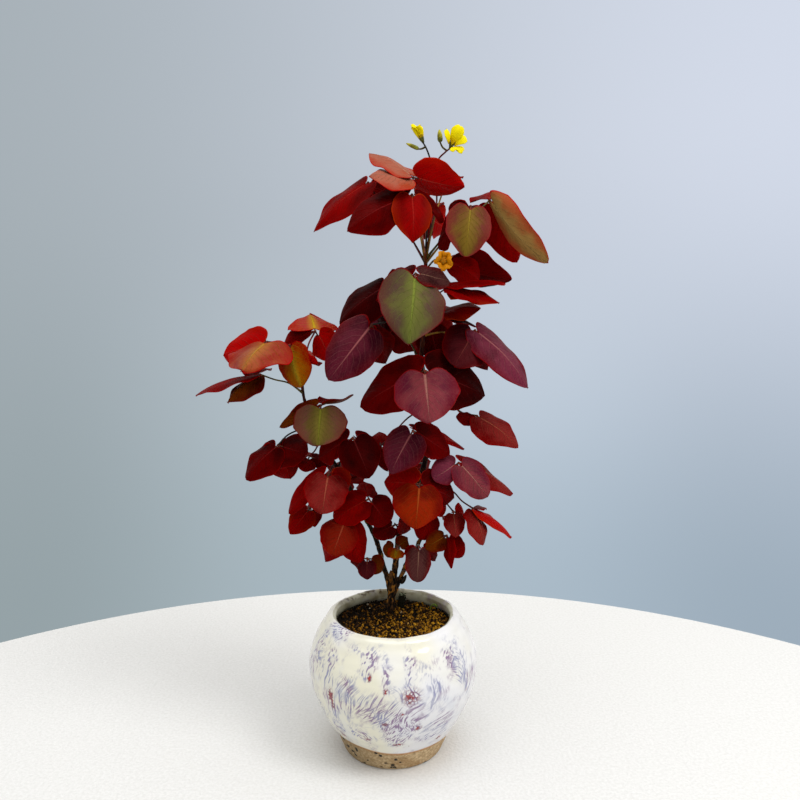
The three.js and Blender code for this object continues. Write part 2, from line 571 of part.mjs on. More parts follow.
// Five petals about the way the bloom faces, standing in a small green cup
function makeBloom({ facing, petal, open }) {
  const axis = vector(facing).normalize();
  const start = new THREE.Vector3(0.3, 0.9, 0.1).cross(axis).normalize();
  const cup = new THREE.CylinderGeometry(CUP.rim, CUP.foot, CUP.length, 6);
  cup.translate(0, CUP.length / 2, 0);
  const pieces = [cup.applyQuaternion(new THREE.Quaternion().setFromUnitVectors(new THREE.Vector3(0, 1, 0), axis))];
  const lean = THREE.MathUtils.degToRad(open);
  for (let k = 0; k < PETALS; k += 1) {
    const outward = start.clone().applyAxisAngle(axis, (2 * Math.PI * k) / PETALS);
    const way = axis.clone().multiplyScalar(Math.cos(lean)).addScaledVector(outward, Math.sin(lean));
    const face = axis.clone().multiplyScalar(Math.sin(lean)).addScaledVector(outward, -Math.cos(lean));
    const shape = { width: PETAL_SLIMNESS * petal, stalk: 1, thickness: PETAL_THICKNESS, spread: petalSpread };
    const piece = blade({ length: petal - 1, axis: way, face, side: face.clone().cross(way), ...shape });
    const seat = axis.clone().multiplyScalar(PETAL_SEAT.height).addScaledVector(outward, PETAL_SEAT.radius);
    pieces.push(piece.translate(seat.x, seat.y, seat.z));
  }
  return join(pieces);
}

function makeBud({ base, tip, radius }) {
  const way = vector(tip).sub(vector(base));
  const bud = new THREE.SphereGeometry(1, 6, 5).scale(radius, way.length() / 2, radius);
  const turn = new THREE.Quaternion().setFromUnitVectors(new THREE.Vector3(0, 1, 0), way.clone().normalize());
  return bud.applyQuaternion(turn).translate(way.x / 2, way.y / 2, way.z / 2);
}

const bonsai = new THREE.Group();
addMesh(bonsai, "pot", makePot(), MATERIALS.glaze);
addMesh(bonsai, "soil", makeSoil(), MATERIALS.soil);
addMesh(bonsai, "trunk_and_stems", makeStems(), MATERIALS.bark);
for (const leaf of LEAVES) {
  const [name, , , hub] = leaf;
  addMesh(bonsai, `leaf_${name}`, makeLeaf(leaf), MATERIALS.leaf).position.set(...hub);
}
for (const bloom of BLOOMS) {
  addMesh(bonsai, bloom.name, makeBloom(bloom), MATERIALS.petal).position.set(...bloom.base);
}
for (const bud of BUDS) {
  addMesh(bonsai, bud.name, makeBud(bud), MATERIALS.bud).position.set(...bud.base);
}

export default bonsai;
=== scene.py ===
import math
import random
from functools import partial

import bmesh
import bpy
import numpy as np
from mathutils import Matrix, Vector, noise


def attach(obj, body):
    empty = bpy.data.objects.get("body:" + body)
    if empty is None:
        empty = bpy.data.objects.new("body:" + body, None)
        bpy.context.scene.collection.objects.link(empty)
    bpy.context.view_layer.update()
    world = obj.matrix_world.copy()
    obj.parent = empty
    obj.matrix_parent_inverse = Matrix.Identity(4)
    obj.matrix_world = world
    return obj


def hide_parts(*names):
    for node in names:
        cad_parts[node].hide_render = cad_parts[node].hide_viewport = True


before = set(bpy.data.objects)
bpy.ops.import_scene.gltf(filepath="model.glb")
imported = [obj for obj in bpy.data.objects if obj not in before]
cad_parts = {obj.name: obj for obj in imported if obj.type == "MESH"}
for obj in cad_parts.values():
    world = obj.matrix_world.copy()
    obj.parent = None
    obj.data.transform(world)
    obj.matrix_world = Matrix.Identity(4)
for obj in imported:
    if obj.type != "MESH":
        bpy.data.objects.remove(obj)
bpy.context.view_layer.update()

# Pot
# One thrown piece of stoneware under a milky glaze that broke into purple and blue-grey hairs,
# with a rolled lip, a bare buff foot where the glaze was wiped off, and three drain holes.

MM = 0.001
POT_OUTSIDE = [
    (22.6, 0), (23.4, 0.5), (25.2, 4.4), (27.9, 10.9), (28.5, 11.6), (30.8, 15.4), (33.2, 19.5), (37.4, 29),
    (39.6, 39), (39.5, 46), (37.7, 53), (34.6, 59), (32.2, 62.6),
]
POT_LIP = [(30.6, 65), (28.6, 66.1), (27, 65.2)]
POT_INSIDE = [(26.6, 62.6), (32, 54.5), (35.6, 45), (35, 34), (29.4, 20.5), (18, 7.4), (0, 6)]
POT_TURNS = 168
POT_RADIUS = 40
# How far the thrown wall strays: the depth and fineness of its dimples, and the marks of the fingers
DIMPLES = [(0.28, 0.09), (0.1, 0.3)]
FINGERS = {"depth": 0.05, "close": 1.5, "climb": 0.4}
# Height of the glaze's lower edge, and its waves round the pot: rise, count and start
GLAZE_LINE = 11.4
WIPED_WAVES = [(0.45, 2, 0.6), (0.3, 5, 0)]
# Above this height the inner wall's glaze gets a painted shade
INSIDE_ABOVE = 40
DRAIN = {"radius": 2.6, "ring": 11, "count": 3, "length": 20}

# Strokes left by the broken glaze, by the way they lean: degrees round from the front, height,
# half width, half height, strength
GLAZE_STROKES = {
    "upright": [
        (-66, 52, 5, 9, 1), (-48, 49, 3.5, 10, 1), (-44, 37, 3.5, 8, 0.9), (-31, 40, 5, 8, 0.75),
        (-17, 55, 2.5, 5, 1), (-4, 50, 1.6, 7, 0.8), (12, 52, 2.5, 9, 0.9), (-20, 60, 8, 3, 0.35),
        (27, 46, 6, 10, 0.5), (56, 50, 5, 8, 0.6), (-80, 36, 7, 10, 0.8), (84, 34, 7, 9, 0.8),
        (125, 36, 8, 12, 0.9), (172, 40, 9, 12, 0.9), (-130, 38, 8, 12, 0.9),
    ],
    "right": [
        (-30, 46, 6, 5, 0.7), (-14, 38, 7, 6, 1), (-3, 36, 6, 6, 0.9), (3, 32, 6, 5, 0.8),
        (-30, 22, 3, 4, 0.8), (22, 38, 8, 8, 0.45), (45, 57, 5, 4, 0.7), (60, 43, 5, 8, 0.8),
        (5, 23, 6, 5, 1), (-62, 26, 5, 7, 0.7), (100, 48, 7, 8, 0.9), (-105, 30, 8, 7, 0.9),
        (150, 26, 8, 7, 0.8), (-160, 52, 7, 6, 0.7),
    ],
    "flat": [
        (-8, 34, 8, 5, 0.9), (36, 26, 7, 6, 1), (29, 23, 6, 4, 0.9), (-54, 65.5, 7, 1.6, 1),
        (-49, 63, 4, 1, 0.7), (78, 24, 7, 6, 0.8), (-150, 24, 8, 6, 0.8), (110, 62, 8, 3, 0.6),
    ],
    "left": [
        (-44, 21, 4, 5, 1), (-20, 21.5, 4, 3, 1), (14, 28, 4, 3, 0.9), (50, 50, 4, 8, 0.7),
        (11, 45, 5, 5, 0.9), (-95, 50, 6, 7, 0.8), (135, 50, 7, 7, 0.8), (-175, 24, 7, 5, 0.7),
    ],
}
# How far each of them leans, as a turn about the pot in radians for each metre of height, and how
# long they are drawn out
STROKE_LEANS = {"upright": (-4, 0.075), "right": (-18, 0.09), "flat": (-42, 0.16), "left": (19, 0.1)}
# Where the glaze burnt to dark red
GLAZE_BURNS = [
    (-44, 39, 1.3, 3.4, 1), (-42, 34.3, 0.8, 1.8, 0.9), (-15, 51.6, 0.9, 1.5, 0.8), (-4, 46.6, 0.8, 1, 1),
    (12, 43.8, 4.6, 4.2, 0.5), (6, 35.3, 0.8, 0.8, 0.8), (-5, 31, 1.4, 0.9, 0.75), (18, 27.5, 1.3, 1.1, 0.8),
    (-45, 16.6, 1.3, 1.3, 0.7), (-19, 20.1, 2, 0.9, 0.7), (4, 17.8, 2.4, 1, 0.7), (41, 16.2, 1.6, 1, 0.7),
    (57, 38.2, 2, 0.9, 0.6), (100, 40, 1.3, 2.6, 0.9), (-110, 36, 1.5, 3, 0.9), (172, 33, 1.4, 2.4, 0.9),
    (-152, 44, 1.4, 1.6, 0.8), (130, 29, 1.8, 1.2, 0.8),
]
GLAZE_TONES = {
    "cream": (0.72, 0.7, 0.57), "pearl": (0.73, 0.73, 0.75), "cool": (0.6, 0.63, 0.7),
    "haze": (0.5, 0.5, 0.58), "blue": (0.17, 0.18, 0.35), "purple": (0.15, 0.055, 0.19),
    "crack": (0.16, 0.02, 0.06), "char": (0.13, 0.008, 0.022), "burn": (0.3, 0.03, 0.03),
    "pinhole": (0.16, 0.13, 0.08), "worn": (0.07, 0.045, 0.02), "thin": (0.45, 0.2, 0.05),
    # The inner wall's painted shade, and the darker streaks of stain in it
    "inside_shade": (0.46, 0.45, 0.33), "stain": (0.22, 0.19, 0.11),
}
# Soft patches of noise: scale, detail, where they start and where they are full
GLAZE_PATCHES = {
    "cool": (60, 3, 0.55, 0.75), "stain": (90, 4, 0.42, 0.62), "purple": (90, 2, 0.44, 0.6),
    "burn": (500, 2, 0.4, 0.62), "pinhole": (75, 3, 0.55, 0.6), "worn": (330, 3, 0.52, 0.6),
}
CLAY_PATCHES = {"stain": (120, 3, 0.5, 0.66)}
# Where the lip is worn, from where that starts to where it is full, in metres
WORN_LIP = {"left": (0.014, -0.002), "back": (0.006, 0.02), "top": (0.0635, 0.0655)}
# Where the foot's left side gets a painted shade, and how far below the glaze its clay is toasted
SHADED_FOOT_LEFT = (0.012, -0.022)
TOASTED = (-1.6, -0.2)
THIN_GLAZE = (1.0, 0.1)
CLAY_TONES = {
    "buff": (0.37, 0.25, 0.12), "pale": (0.62, 0.46, 0.27), "stain": (0.3, 0.16, 0.05),
    "toasted": (0.42, 0.17, 0.03), "foot_shade": (0.12, 0.075, 0.02), "pit": (0.012, 0.008, 0.002),
}


def smooth_line(points, per_span):
    """A smooth line through the points: a centripetal Catmull-Rom curve."""
    given = [np.array(point, float) for point in points]
    held = [2 * given[0] - given[1], *given, 2 * given[-1] - given[-2]]
    line = []
    for a, b, c, d in zip(held, held[1:], held[2:], held[3:]):
        ta = 0.0
        tb = ta + math.sqrt(np.linalg.norm(b - a))
        tc = tb + math.sqrt(np.linalg.norm(c - b))
        td = tc + math.sqrt(np.linalg.norm(d - c))
        for t in np.linspace(tb, tc, per_span, endpoint=False):
            ab = a + (b - a) * (t - ta) / (tb - ta)
            bc = b + (c - b) * (t - tb) / (tc - tb)
            cd = c + (d - c) * (t - tc) / (td - tc)
            abc = ab + (bc - ab) * (t - ta) / (tc - ta)
            bcd = bc + (cd - bc) * (t - tb) / (td - tb)
            line.append(abc + (bcd - abc) * (t - tb) / (tc - tb))
    return np.array([*line, given[-1]])


def spin_profile(bm, profile, turns):
    """Turns a profile of (radius, height) about the upright axis into a closed skin."""
    corners = [bm.verts.new((radius, 0, height)) for radius, height in profile]
    edges = [bm.edges.new(pair) for pair in zip(corners, corners[1:])]
    bmesh.ops.spin(
        bm, geom=[*corners, *edges], cent=(0, 0, 0), axis=(0, 0, 1), angle=2 * math.pi, steps=turns,
        use_merge=True,
    )
    bmesh.ops.remove_doubles(bm, verts=bm.verts, dist=0.001)
    bmesh.ops.recalc_face_normals(bm, faces=bm.faces)


def put(name, data):
    """An object of this data, set into the scene at the origin."""
    piece = bpy.data.objects.new(name, data)
    bpy.context.scene.collection.objects.link(piece)
    return piece


def in_metres(bm, name):
    """The mesh in metres of a bmesh in millimetres."""
    bmesh.ops.scale(bm, vec=(MM, MM, MM), verts=bm.verts)
    mesh = bpy.data.meshes.new(name)
    bm.to_mesh(mesh)
    bm.free()
    return mesh


def set_down(bm, name, materials, stands_for):
    """Makes a bmesh a smooth piece of the part, which stands for its solids."""
    for face in bm.faces:
        face.smooth = True
    mesh = in_metres(bm, name)
    for material in materials:
        mesh.materials.append(material)
    piece = put(name, mesh)
    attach(piece, "root")
    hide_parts(*stands_for)
    return piece


def with_modifier(piece, kind, **settings):
    """Puts one modifier on a piece and makes its result the mesh."""
    modifier = piece.modifiers.new(kind.lower(), kind)
    for key, value in settings.items():
        setattr(modifier, key, value)
    depsgraph = bpy.context.evaluated_depsgraph_get()
    mesh = bpy.data.meshes.new_from_object(piece.evaluated_get(depsgraph))
    piece.modifiers.clear()
    piece.data = mesh


def drum(bm, place, radius, height, segments):
    """An upright cylinder about a place."""
    bmesh.ops.create_cone(
        bm, cap_ends=True, segments=segments, radius1=radius, radius2=radius, depth=height,
        matrix=Matrix.Translation(place),
    )


def drain_cutter():
    bm = bmesh.new()
    for k in range(DRAIN["count"]):
        angle = 2 * math.pi * k / DRAIN["count"]
        place = (DRAIN["ring"] * math.cos(angle), DRAIN["ring"] * math.sin(angle), 0)
        drum(bm, place, DRAIN["radius"], DRAIN["length"], segments=24)
    return put("drain_cutter", in_metres(bm, "drain_cutter"))


def gathered(place, spots):
    """How strongly the spots round the pot reach a place in millimetres on its skin."""
    total = 0.0
    around = math.degrees(math.atan2(place.x, -place.y))
    radius = math.hypot(place.x, place.y)
    for angle, height, wide, high, strength in spots:
        turn = (around - angle + 180) % 360 - 180
        across = math.radians(turn) * radius / wide
        up = (place.z - height) / high
        total += strength * math.exp(-(across**2 + up**2))
    return min(1.0, total)


def wiped_edge(angle):
    """How far the lower edge of the glaze rises round the pot, where it was wiped by hand."""
    return sum(rise * math.sin(count * angle + start) for rise, count, start in WIPED_WAVES)


def mark_glaze(mesh):
    """Writes on each corner which strokes and burns reach it, if it is inside, and where the glaze ends."""
    for name in [*GLAZE_STROKES, "burns", "inside", "above_line"]:
        mesh.attributes.new(name, "FLOAT", "POINT")
    marks = mesh.attributes
    for k, vert in enumerate(mesh.vertices):
        place = vert.co / MM
        for name, spots in GLAZE_STROKES.items():
            marks[name].data[k].value = gathered(place, spots)
        marks["burns"].data[k].value = gathered(place, GLAZE_BURNS)
        radius = max(1.0, math.hypot(place.x, place.y))
        outward = (vert.normal.x * place.x + vert.normal.y * place.y) / radius
        marks["inside"].data[k].value = 1.0 if outward < -0.2 and place.z > INSIDE_ABOVE else 0.0
        marks["above_line"].data[k].value = place.z - GLAZE_LINE - wiped_edge(math.atan2(place.y, place.x))


def throw_pot():
    bm = bmesh.new()
    profile = smooth_line(POT_OUTSIDE + POT_LIP + POT_INSIDE, per_span=6)
    spin_profile(bm, [(0, 0), *[(max(0.0, r), max(0.0, z)) for r, z in profile]], POT_TURNS)
    for vert in bm.verts:
        if math.hypot(vert.co.x, vert.co.y) < 20 or vert.co.z < 1:
            continue
        angle = math.atan2(vert.co.y, vert.co.x)
        stray = sum(depth * noise.noise(vert.co * fineness) for depth, fineness in DIMPLES)
        finger = vert.co.z * FINGERS["close"] + FINGERS["climb"] * math.sin(angle)
        stray += FINGERS["depth"] * math.sin(finger)
        vert.co *= 1 + stray / POT_RADIUS
        if vert.co.z < 20:
            vert.co.z += math.exp(-(((vert.co.z - GLAZE_LINE) / 3) ** 2)) * wiped_edge(angle)
    pot = set_down(bm, "pot_glazed", [glaze(), bare_clay()], ["pot"])
    cutter = drain_cutter()
    with_modifier(pot, "BOOLEAN", object=cutter, solver="EXACT")
    bpy.data.objects.remove(cutter)
    mark_glaze(pot.data)
    line = pot.data.attributes["above_line"].data
    for polygon in pot.data.polygons:
        polygon.material_index = 1 if all(line[k].value < 0 for k in polygon.vertices) else 0
        polygon.use_smooth = True


def add(tree, kind, inputs=None, **settings):
    """A shader node with its settings, and its inputs set to values or joined to sockets."""
    node = tree.nodes.new("ShaderNode" + kind)
    for key, value in settings.items():
        setattr(node, key, value)
    for key, value in (inputs or {}).items():
        if isinstance(value, bpy.types.NodeSocket):
            tree.links.new(value, node.inputs[key])
        else:
            node.inputs[key].default_value = value
    return node


def maths(tree, operation, *values):
    return add(tree, "Math", dict(enumerate(values)), operation=operation).outputs[0]


def plus(tree, first, second):
    return maths(tree, "ADD", first, second)


def minus(tree, first, second):
    return maths(tree, "SUBTRACT", first, second)


def times(tree, first, second):
    return maths(tree, "MULTIPLY", first, second)


def split(tree, place):
    """The three parts of a place."""
    return add(tree, "SeparateXYZ", {0: place}).outputs


def drawn_out(tree, place, share):
    """A place whose height counts for this share, so that a pattern on it is drawn out upright."""
    return add(tree, "VectorMath", {0: place, 1: (1, 1, share)}, operation="MULTIPLY").outputs[0]


def mixed(tree, share, first, second):
    """A colour between two others, each a colour's three values or a socket."""
    first, second = [(*colour, 1) if isinstance(colour, tuple) else colour for colour in (first, second)]
    return add(tree, "Mix", {0: share, 6: first, 7: second}, data_type="RGBA").outputs[2]


def over(tree, colour, coat, where, strength=1.0):
    """A colour with a coat over it where the mask says."""
    return mixed(tree, where if strength == 1.0 else times(tree, where, strength), colour, coat)


def rising(tree, value, low, high):
    """0 below low and 1 above high, or the other way round where high is the lower one."""
    limits = {"Value": value, "From Min": low, "From Max": high}
    return add(tree, "MapRange", limits, interpolation_type="SMOOTHSTEP").outputs[0]


def cloudy(tree, place, scale, detail=3.0):
    return add(tree, "TexNoise", {"Vector": place, "Scale": scale, "Detail": detail}).outputs[0]


def patches(tree, place, scale, detail, low, high):
    """Soft patches of noise, which start at the low value and are full at the high one."""
    return rising(tree, cloudy(tree, place, scale, detail), low, high)


def attribute(tree, name):
    return add(tree, "Attribute", attribute_name=name).outputs["Fac"]


def cells(tree, place, scale, feature="F1"):
    return add(tree, "TexVoronoi", {"Vector": place, "Scale": scale}, feature=feature).outputs["Distance"]


def dress(tree, shader, colour, height, depth):
    """Gives a shader its colour and a fine relief, of a depth in metres."""
    tree.links.new(colour, shader.inputs["Base Color"])
    bump = add(tree, "Bump", {"Height": height, "Distance": depth})
    tree.links.new(bump.outputs[0], shader.inputs["Normal"])


def surface(name, roughness, gloss=0.5):
    """A material with its tree, its shader and the place on the piece."""
    material = bpy.data.materials.new(name)
    material.use_nodes = True
    tree = material.node_tree
    shader = tree.nodes["Principled BSDF"]
    shader.inputs["Roughness"].default_value = roughness
    shader.inputs["Specular IOR Level"].default_value = gloss
    return material, tree, shader, add(tree, "TexCoord").outputs["Object"]


def brushed(tree, place, twist, stretch):
    """Short fine strokes that climb the pot aslant: noise drawn out along a helix."""
    drift = times(tree, cloudy(tree, place, 40, 2), 0.5)
    angle = plus(tree, times(tree, split(tree, place)[2], twist), drift)
    turned = add(tree, "VectorRotate", {"Vector": place, "Angle": angle}, rotation_type="Z_AXIS").outputs[0]
    field = {"Vector": drawn_out(tree, turned, stretch), "Scale": 1050, "Detail": 1.5, "Roughness": 0.5}
    return rising(tree, add(tree, "TexNoise", field).outputs[0], 0.49, 0.6)


def broken(tree, place):
    """Where the strokes of every lean lie, and the haze round them."""
    cloud = times(tree, minus(tree, cloudy(tree, place, 170, 3), 0.5), 1.5)
    strokes = 0.0
    haze = 0.0
    for name, (twist, stretch) in STROKE_LEANS.items():
        strength = rising(tree, plus(tree, attribute(tree, name), cloud), 0.02, 0.6)
        lines = times(tree, brushed(tree, place, twist, stretch), strength)
        strokes = maths(tree, "MAXIMUM", strokes, lines)
        haze = maths(tree, "MAXIMUM", haze, strength)
    return strokes, haze


def burnt(tree, place, colour):
    """A glaze with the fine cracks and the red char of its burns."""
    burns = attribute(tree, "burns")
    cracks = rising(tree, cells(tree, place, 640, "DISTANCE_TO_EDGE"), 0.24, 0.06)
    cracks = times(tree, cracks, rising(tree, burns, 0.05, 0.45))
    colour = over(tree, colour, GLAZE_TONES["crack"], cracks, strength=0.9)
    scorched = plus(tree, burns, minus(tree, cloudy(tree, place, 620, 3), 0.62))
    flame = patches(tree, place, *GLAZE_PATCHES["burn"])
    red = mixed(tree, flame, GLAZE_TONES["char"], GLAZE_TONES["burn"])
    return over(tree, colour, red, rising(tree, scorched, 0.3, 0.44))


def glaze():
    material, tree, shader, place = surface("glaze", roughness=0.13)
    x, y, z = split(tree, place)
    tone = plus(tree, cloudy(tree, place, 28, 2), times(tree, x, 5.0))
    milk = mixed(tree, rising(tree, tone, 0.36, 0.66), GLAZE_TONES["cream"], GLAZE_TONES["pearl"])
    milk = over(tree, milk, GLAZE_TONES["cool"], patches(tree, place, *GLAZE_PATCHES["cool"]), strength=0.5)
    # Inside the pot the milk is covered by a painted shade, patched with darker stain streaks
    stain = patches(tree, place, *GLAZE_PATCHES["stain"])
    shade_and_stain_inside = mixed(tree, stain, GLAZE_TONES["inside_shade"], GLAZE_TONES["stain"])
    milk = over(tree, milk, shade_and_stain_inside, attribute(tree, "inside"))
    strokes, haze = broken(tree, place)
    purple = patches(tree, place, *GLAZE_PATCHES["purple"])
    ink = mixed(tree, purple, GLAZE_TONES["blue"], GLAZE_TONES["purple"])
    colour = over(tree, milk, GLAZE_TONES["haze"], haze, strength=0.2)
    colour = burnt(tree, place, over(tree, colour, ink, strokes, strength=0.84))
    holes = rising(tree, cells(tree, place, 190), 0.09, 0.05)
    pinhole = times(tree, holes, patches(tree, place, *GLAZE_PATCHES["pinhole"]))
    colour = over(tree, colour, GLAZE_TONES["pinhole"], pinhole, strength=0.8)
    lip = times(tree, rising(tree, x, *WORN_LIP["left"]), rising(tree, y, *WORN_LIP["back"]))
    lip = times(tree, lip, rising(tree, z, *WORN_LIP["top"]))
    worn = times(tree, lip, patches(tree, place, *GLAZE_PATCHES["worn"]))
    colour = over(tree, colour, GLAZE_TONES["worn"], worn, strength=0.85)
    thin = rising(tree, attribute(tree, "above_line"), *THIN_GLAZE)
    colour = over(tree, colour, GLAZE_TONES["thin"], thin, strength=0.75)
    shader.inputs["Coat Weight"].default_value = 0.35
    shader.inputs["Coat Roughness"].default_value = 0.05
    height = minus(tree, times(tree, cloudy(tree, place, 130, 2), 0.5), pinhole)
    dress(tree, shader, colour, height, depth=0.0002)
    return material


def bare_clay():
    material, tree, shader, place = surface("bare_clay", roughness=0.78)
    grit = cloudy(tree, place, 900, 3)
    colour = mixed(tree, rising(tree, grit, 0.35, 0.7), CLAY_TONES["buff"], CLAY_TONES["pale"])
    stain = patches(tree, place, *CLAY_PATCHES["stain"])
    colour = over(tree, colour, CLAY_TONES["stain"], stain, strength=0.5)
    seam = rising(tree, attribute(tree, "above_line"), *TOASTED)
    colour = over(tree, colour, CLAY_TONES["toasted"], seam, strength=0.8)
    # Painted shade: the foot darkens towards its left side, away from the lamp, and gets more dark pits
    # there
    left = rising(tree, split(tree, place)[0], *SHADED_FOOT_LEFT)
    colour = over(tree, colour, CLAY_TONES["foot_shade"], left, strength=0.55)
    rough = plus(tree, cloudy(tree, place, 150), times(tree, left, 0.16))
    pit = times(tree, rising(tree, cells(tree, place, 340), 0.34, 0.2), rising(tree, rough, 0.57, 0.63))
    colour = over(tree, colour, CLAY_TONES["pit"], pit)
    dress(tree, shader, colour, minus(tree, grit, times(tree, pit, 2.0)), depth=0.0004)
    return material


throw_pot()

# Soil
# Baked clay, pumice and bark grains of about 1.5 to 2 mm on a darker bed, filled to a little
# under the lip and heaped where the trunk comes out.

SOIL_LEVEL = 60.6
SOIL_RADIUS = 27.9
SOIL_TOP = 59
SOIL_MOUND = {"height": 1.8, "reach": 15, "x": -0.8, "y": 12}
SOIL_BED = [
    (0, 10), (17, 10), (28.5, 22), (34, 35), (34.6, 45), (31, 54.5), (27.8, 59.2), (20, 59.6), (10, 59.6),
    (0, 59.6),
]
GRAIN_ROWS = 42
GRAIN_LAYERS = 2
GRAIN = {
    "spacing": 1.4, "stray": 0.5, "radius": 0.85, "size": (0.45, 0.95), "stretch": (0.7, 1.35),
    "layer": 0.5, "lift": (-0.25, 0.35), "chipped": 0.16,
}
# Grains are lighter in tone by chance, get a painted light towards the right and a painted shade towards the
# back
GRAIN_TONE_AND_PAINTED_LIGHT = {"least": 0.04, "chance": 0.8, "right": 0.22, "back": -0.2, "most": 0.93}
# Colours of the grains by their tone, from the darkest bark to the palest pumice
GRAIN_TONES = {
    0: (0.006, 0.004, 0.002), 0.34: (0.01, 0.005, 0.001), 0.46: (0.08, 0.028, 0.002),
    0.62: (0.29, 0.12, 0.006), 0.8: (0.52, 0.24, 0.01), 0.94: (0.6, 0.3, 0.02), 1: (0.7, 0.6, 0.42),
}
GRAIN_CREVICE = (0.008, 0.005, 0.003)
# Grains that stand out: place and tone
MARKED_GRAINS = [
    (-13, 21, 1), (-11.7, 15, 1), (4.7, 9, 0.97), (14.2, 3, 0.95), (7, -1.5, 0.95), (5.2, -6, 0.95),
    (-6, -14, 1),
]
grain_random = random.Random(41)
# Without a seed, the noise that chips the grains and ruffles the moss starts from the clock
noise.seed_set(41)


def soil_height(x, y):
    near = max(0.0, 1 - math.hypot(x - SOIL_MOUND["x"], y - SOIL_MOUND["y"]) / SOIL_MOUND["reach"])
    return SOIL_LEVEL + SOIL_MOUND["height"] * near * near * (3 - 2 * near)


def soil_surface():
    material, tree, shader, place = surface("soil", roughness=0.9, gloss=0.1)
    ramp = add(tree, "ValToRGB", {0: attribute(tree, "tone")})
    stops = ramp.color_ramp.elements
    stops[0].color = (*GRAIN_TONES[0], 1)
    stops[1].color = (*GRAIN_TONES[1], 1)
    for at in list(GRAIN_TONES)[1:-1]:
        stops.new(at).color = (*GRAIN_TONES[at], 1)
    rough = cloudy(tree, place, 1800, 3)
    colour = mixed(tree, rising(tree, rough, 0.35, 0.62), GRAIN_CREVICE, ramp.outputs[0])
    dress(tree, shader, colour, rough, depth=0.0004)
    return material


def scatter_row(layer, row):
    """One row of grains, each shifted, turned, stretched and toned by chance."""
    bm = bmesh.new()
    tone = bm.verts.layers.float.new("tone")
    stray = GRAIN["stray"]
    for column in range(GRAIN_ROWS):
        shift = 0.5 * (row % 2) - GRAIN_ROWS / 2
        x = (column + shift) * GRAIN["spacing"] + grain_random.uniform(-stray, stray)
        y = (row - GRAIN_ROWS / 2) * GRAIN["spacing"] + grain_random.uniform(-stray, stray)
        size = grain_random.uniform(*GRAIN["size"])
        turn = Vector([grain_random.uniform(-1, 1) for _ in range(3)]).to_track_quat("Z", "Y")
        stretch = Vector([grain_random.uniform(*GRAIN["stretch"]) for _ in range(3)])
        chance = grain_random.random()
        if math.hypot(x, y) > SOIL_RADIUS - 0.9:
            continue
        z = soil_height(x, y) + GRAIN["layer"] * (layer - 1) + grain_random.uniform(*GRAIN["lift"])
        light = GRAIN_TONE_AND_PAINTED_LIGHT["least"] + GRAIN_TONE_AND_PAINTED_LIGHT["chance"] * chance
        # Painted light towards the right, painted shade towards the back
        light += (GRAIN_TONE_AND_PAINTED_LIGHT["right"] * x + GRAIN_TONE_AND_PAINTED_LIGHT["back"] * y) / SOIL_RADIUS
        light = max(0.0, min(GRAIN_TONE_AND_PAINTED_LIGHT["most"], light))
        for marked_x, marked_y, marked_tone in MARKED_GRAINS:
            if layer and math.hypot(x - marked_x, y - marked_y) < 0.8:
                light = marked_tone
        matrix = Matrix.LocRotScale(Vector((x, y, z)), turn, stretch * size)
        grain = bmesh.ops.create_icosphere(bm, subdivisions=1, radius=GRAIN["radius"], matrix=matrix)
        for vert in grain["verts"]:
            vert[tone] = light
            vert.co += GRAIN["chipped"] * Vector(noise.noise_vector(vert.co * 1.3))
    mesh = bpy.data.meshes.new("grain_row")
    bm.to_mesh(mesh)
    bm.free()
    return mesh


def fill_soil():
    bm = bmesh.new()
    bm.verts.layers.float.new("tone")
    spin_profile(bm, SOIL_BED, turns=48)
    for vert in bm.verts:
        if vert.co.z > SOIL_TOP:
            vert.co.z += soil_height(vert.co.x, vert.co.y) - SOIL_LEVEL
    for layer in range(GRAIN_LAYERS):
        for row in range(GRAIN_ROWS):
            bm.from_mesh(scatter_row(layer, row))
    soil = set_down(bm, "soil_grains", [soil_surface()], ["soil"])
    for polygon in soil.data.polygons:
        polygon.use_smooth = False


fill_soil()

# Trunk and stems
# The short woody trunk and its three stems grow as one piece, with a ring at each old leaf scar.
# Every leaf stalk swells a little where it leaves the wood, and ends just short of its leaf's hub.

TRUNK = {
    "points": [(-0.6, 12, 50), (-0.8, 12, 60), (-1, 12, 67), (-0.8, 12.3, 72), (-0.5, 12, 77)],
    "root": 2.7, "tip": 2,
}
STEMS = {
    "leader": {
        "points": [
            (-0.6, 12, 69), (0.5, 11, 80), (1.5, 10, 89), (2.5, 9, 98), (4, 8, 107.5), (7, 6, 119),
            (11.5, 5, 127.5), (15, 5, 137.5), (16, 5, 152.5), (14.5, 4, 166.5), (13, 3, 184.5), (14, 3, 198),
            (15.5, 3, 212.5), (15, 4, 225), (14.5, 4, 233),
        ],
        "root": 1.7, "tip": 1,
    },
    "left": {
        "points": [
            (-1, 12, 69), (-3, 11, 79), (-5, 10, 85.5), (-6.5, 8, 93.5), (-9, 7, 101.5), (-13, 6, 110),
            (-19, 4, 123), (-25.5, 2, 135), (-31.5, 1, 145), (-37, 0, 156), (-39.5, -1, 165), (-41, 0, 173),
            (-40.5, 2, 178.5),
        ],
        "root": 1.5, "tip": 0.7,
    },
    "right": {
        "points": [
            (-0.3, 12, 69), (2.5, 12, 75.5), (4.5, 12, 80.5), (7, 13, 86), (11.5, 13, 93.5), (15, 13, 102),
            (18.5, 12, 111), (25, 11, 122.5), (30, 9, 132),
        ],
        "root": 1.4, "tip": 0.65,
    },
}
# Leaf scars ring the wood, which is a little thinner between them
SCARS = {"spacing": 6.5, "width": 0.8, "rise": 0.13, "between": 0.88}
WOOD_VOXEL = 0.38
WOOD_KNOTS = {"coarse": 0.28, "fine": 0.14}
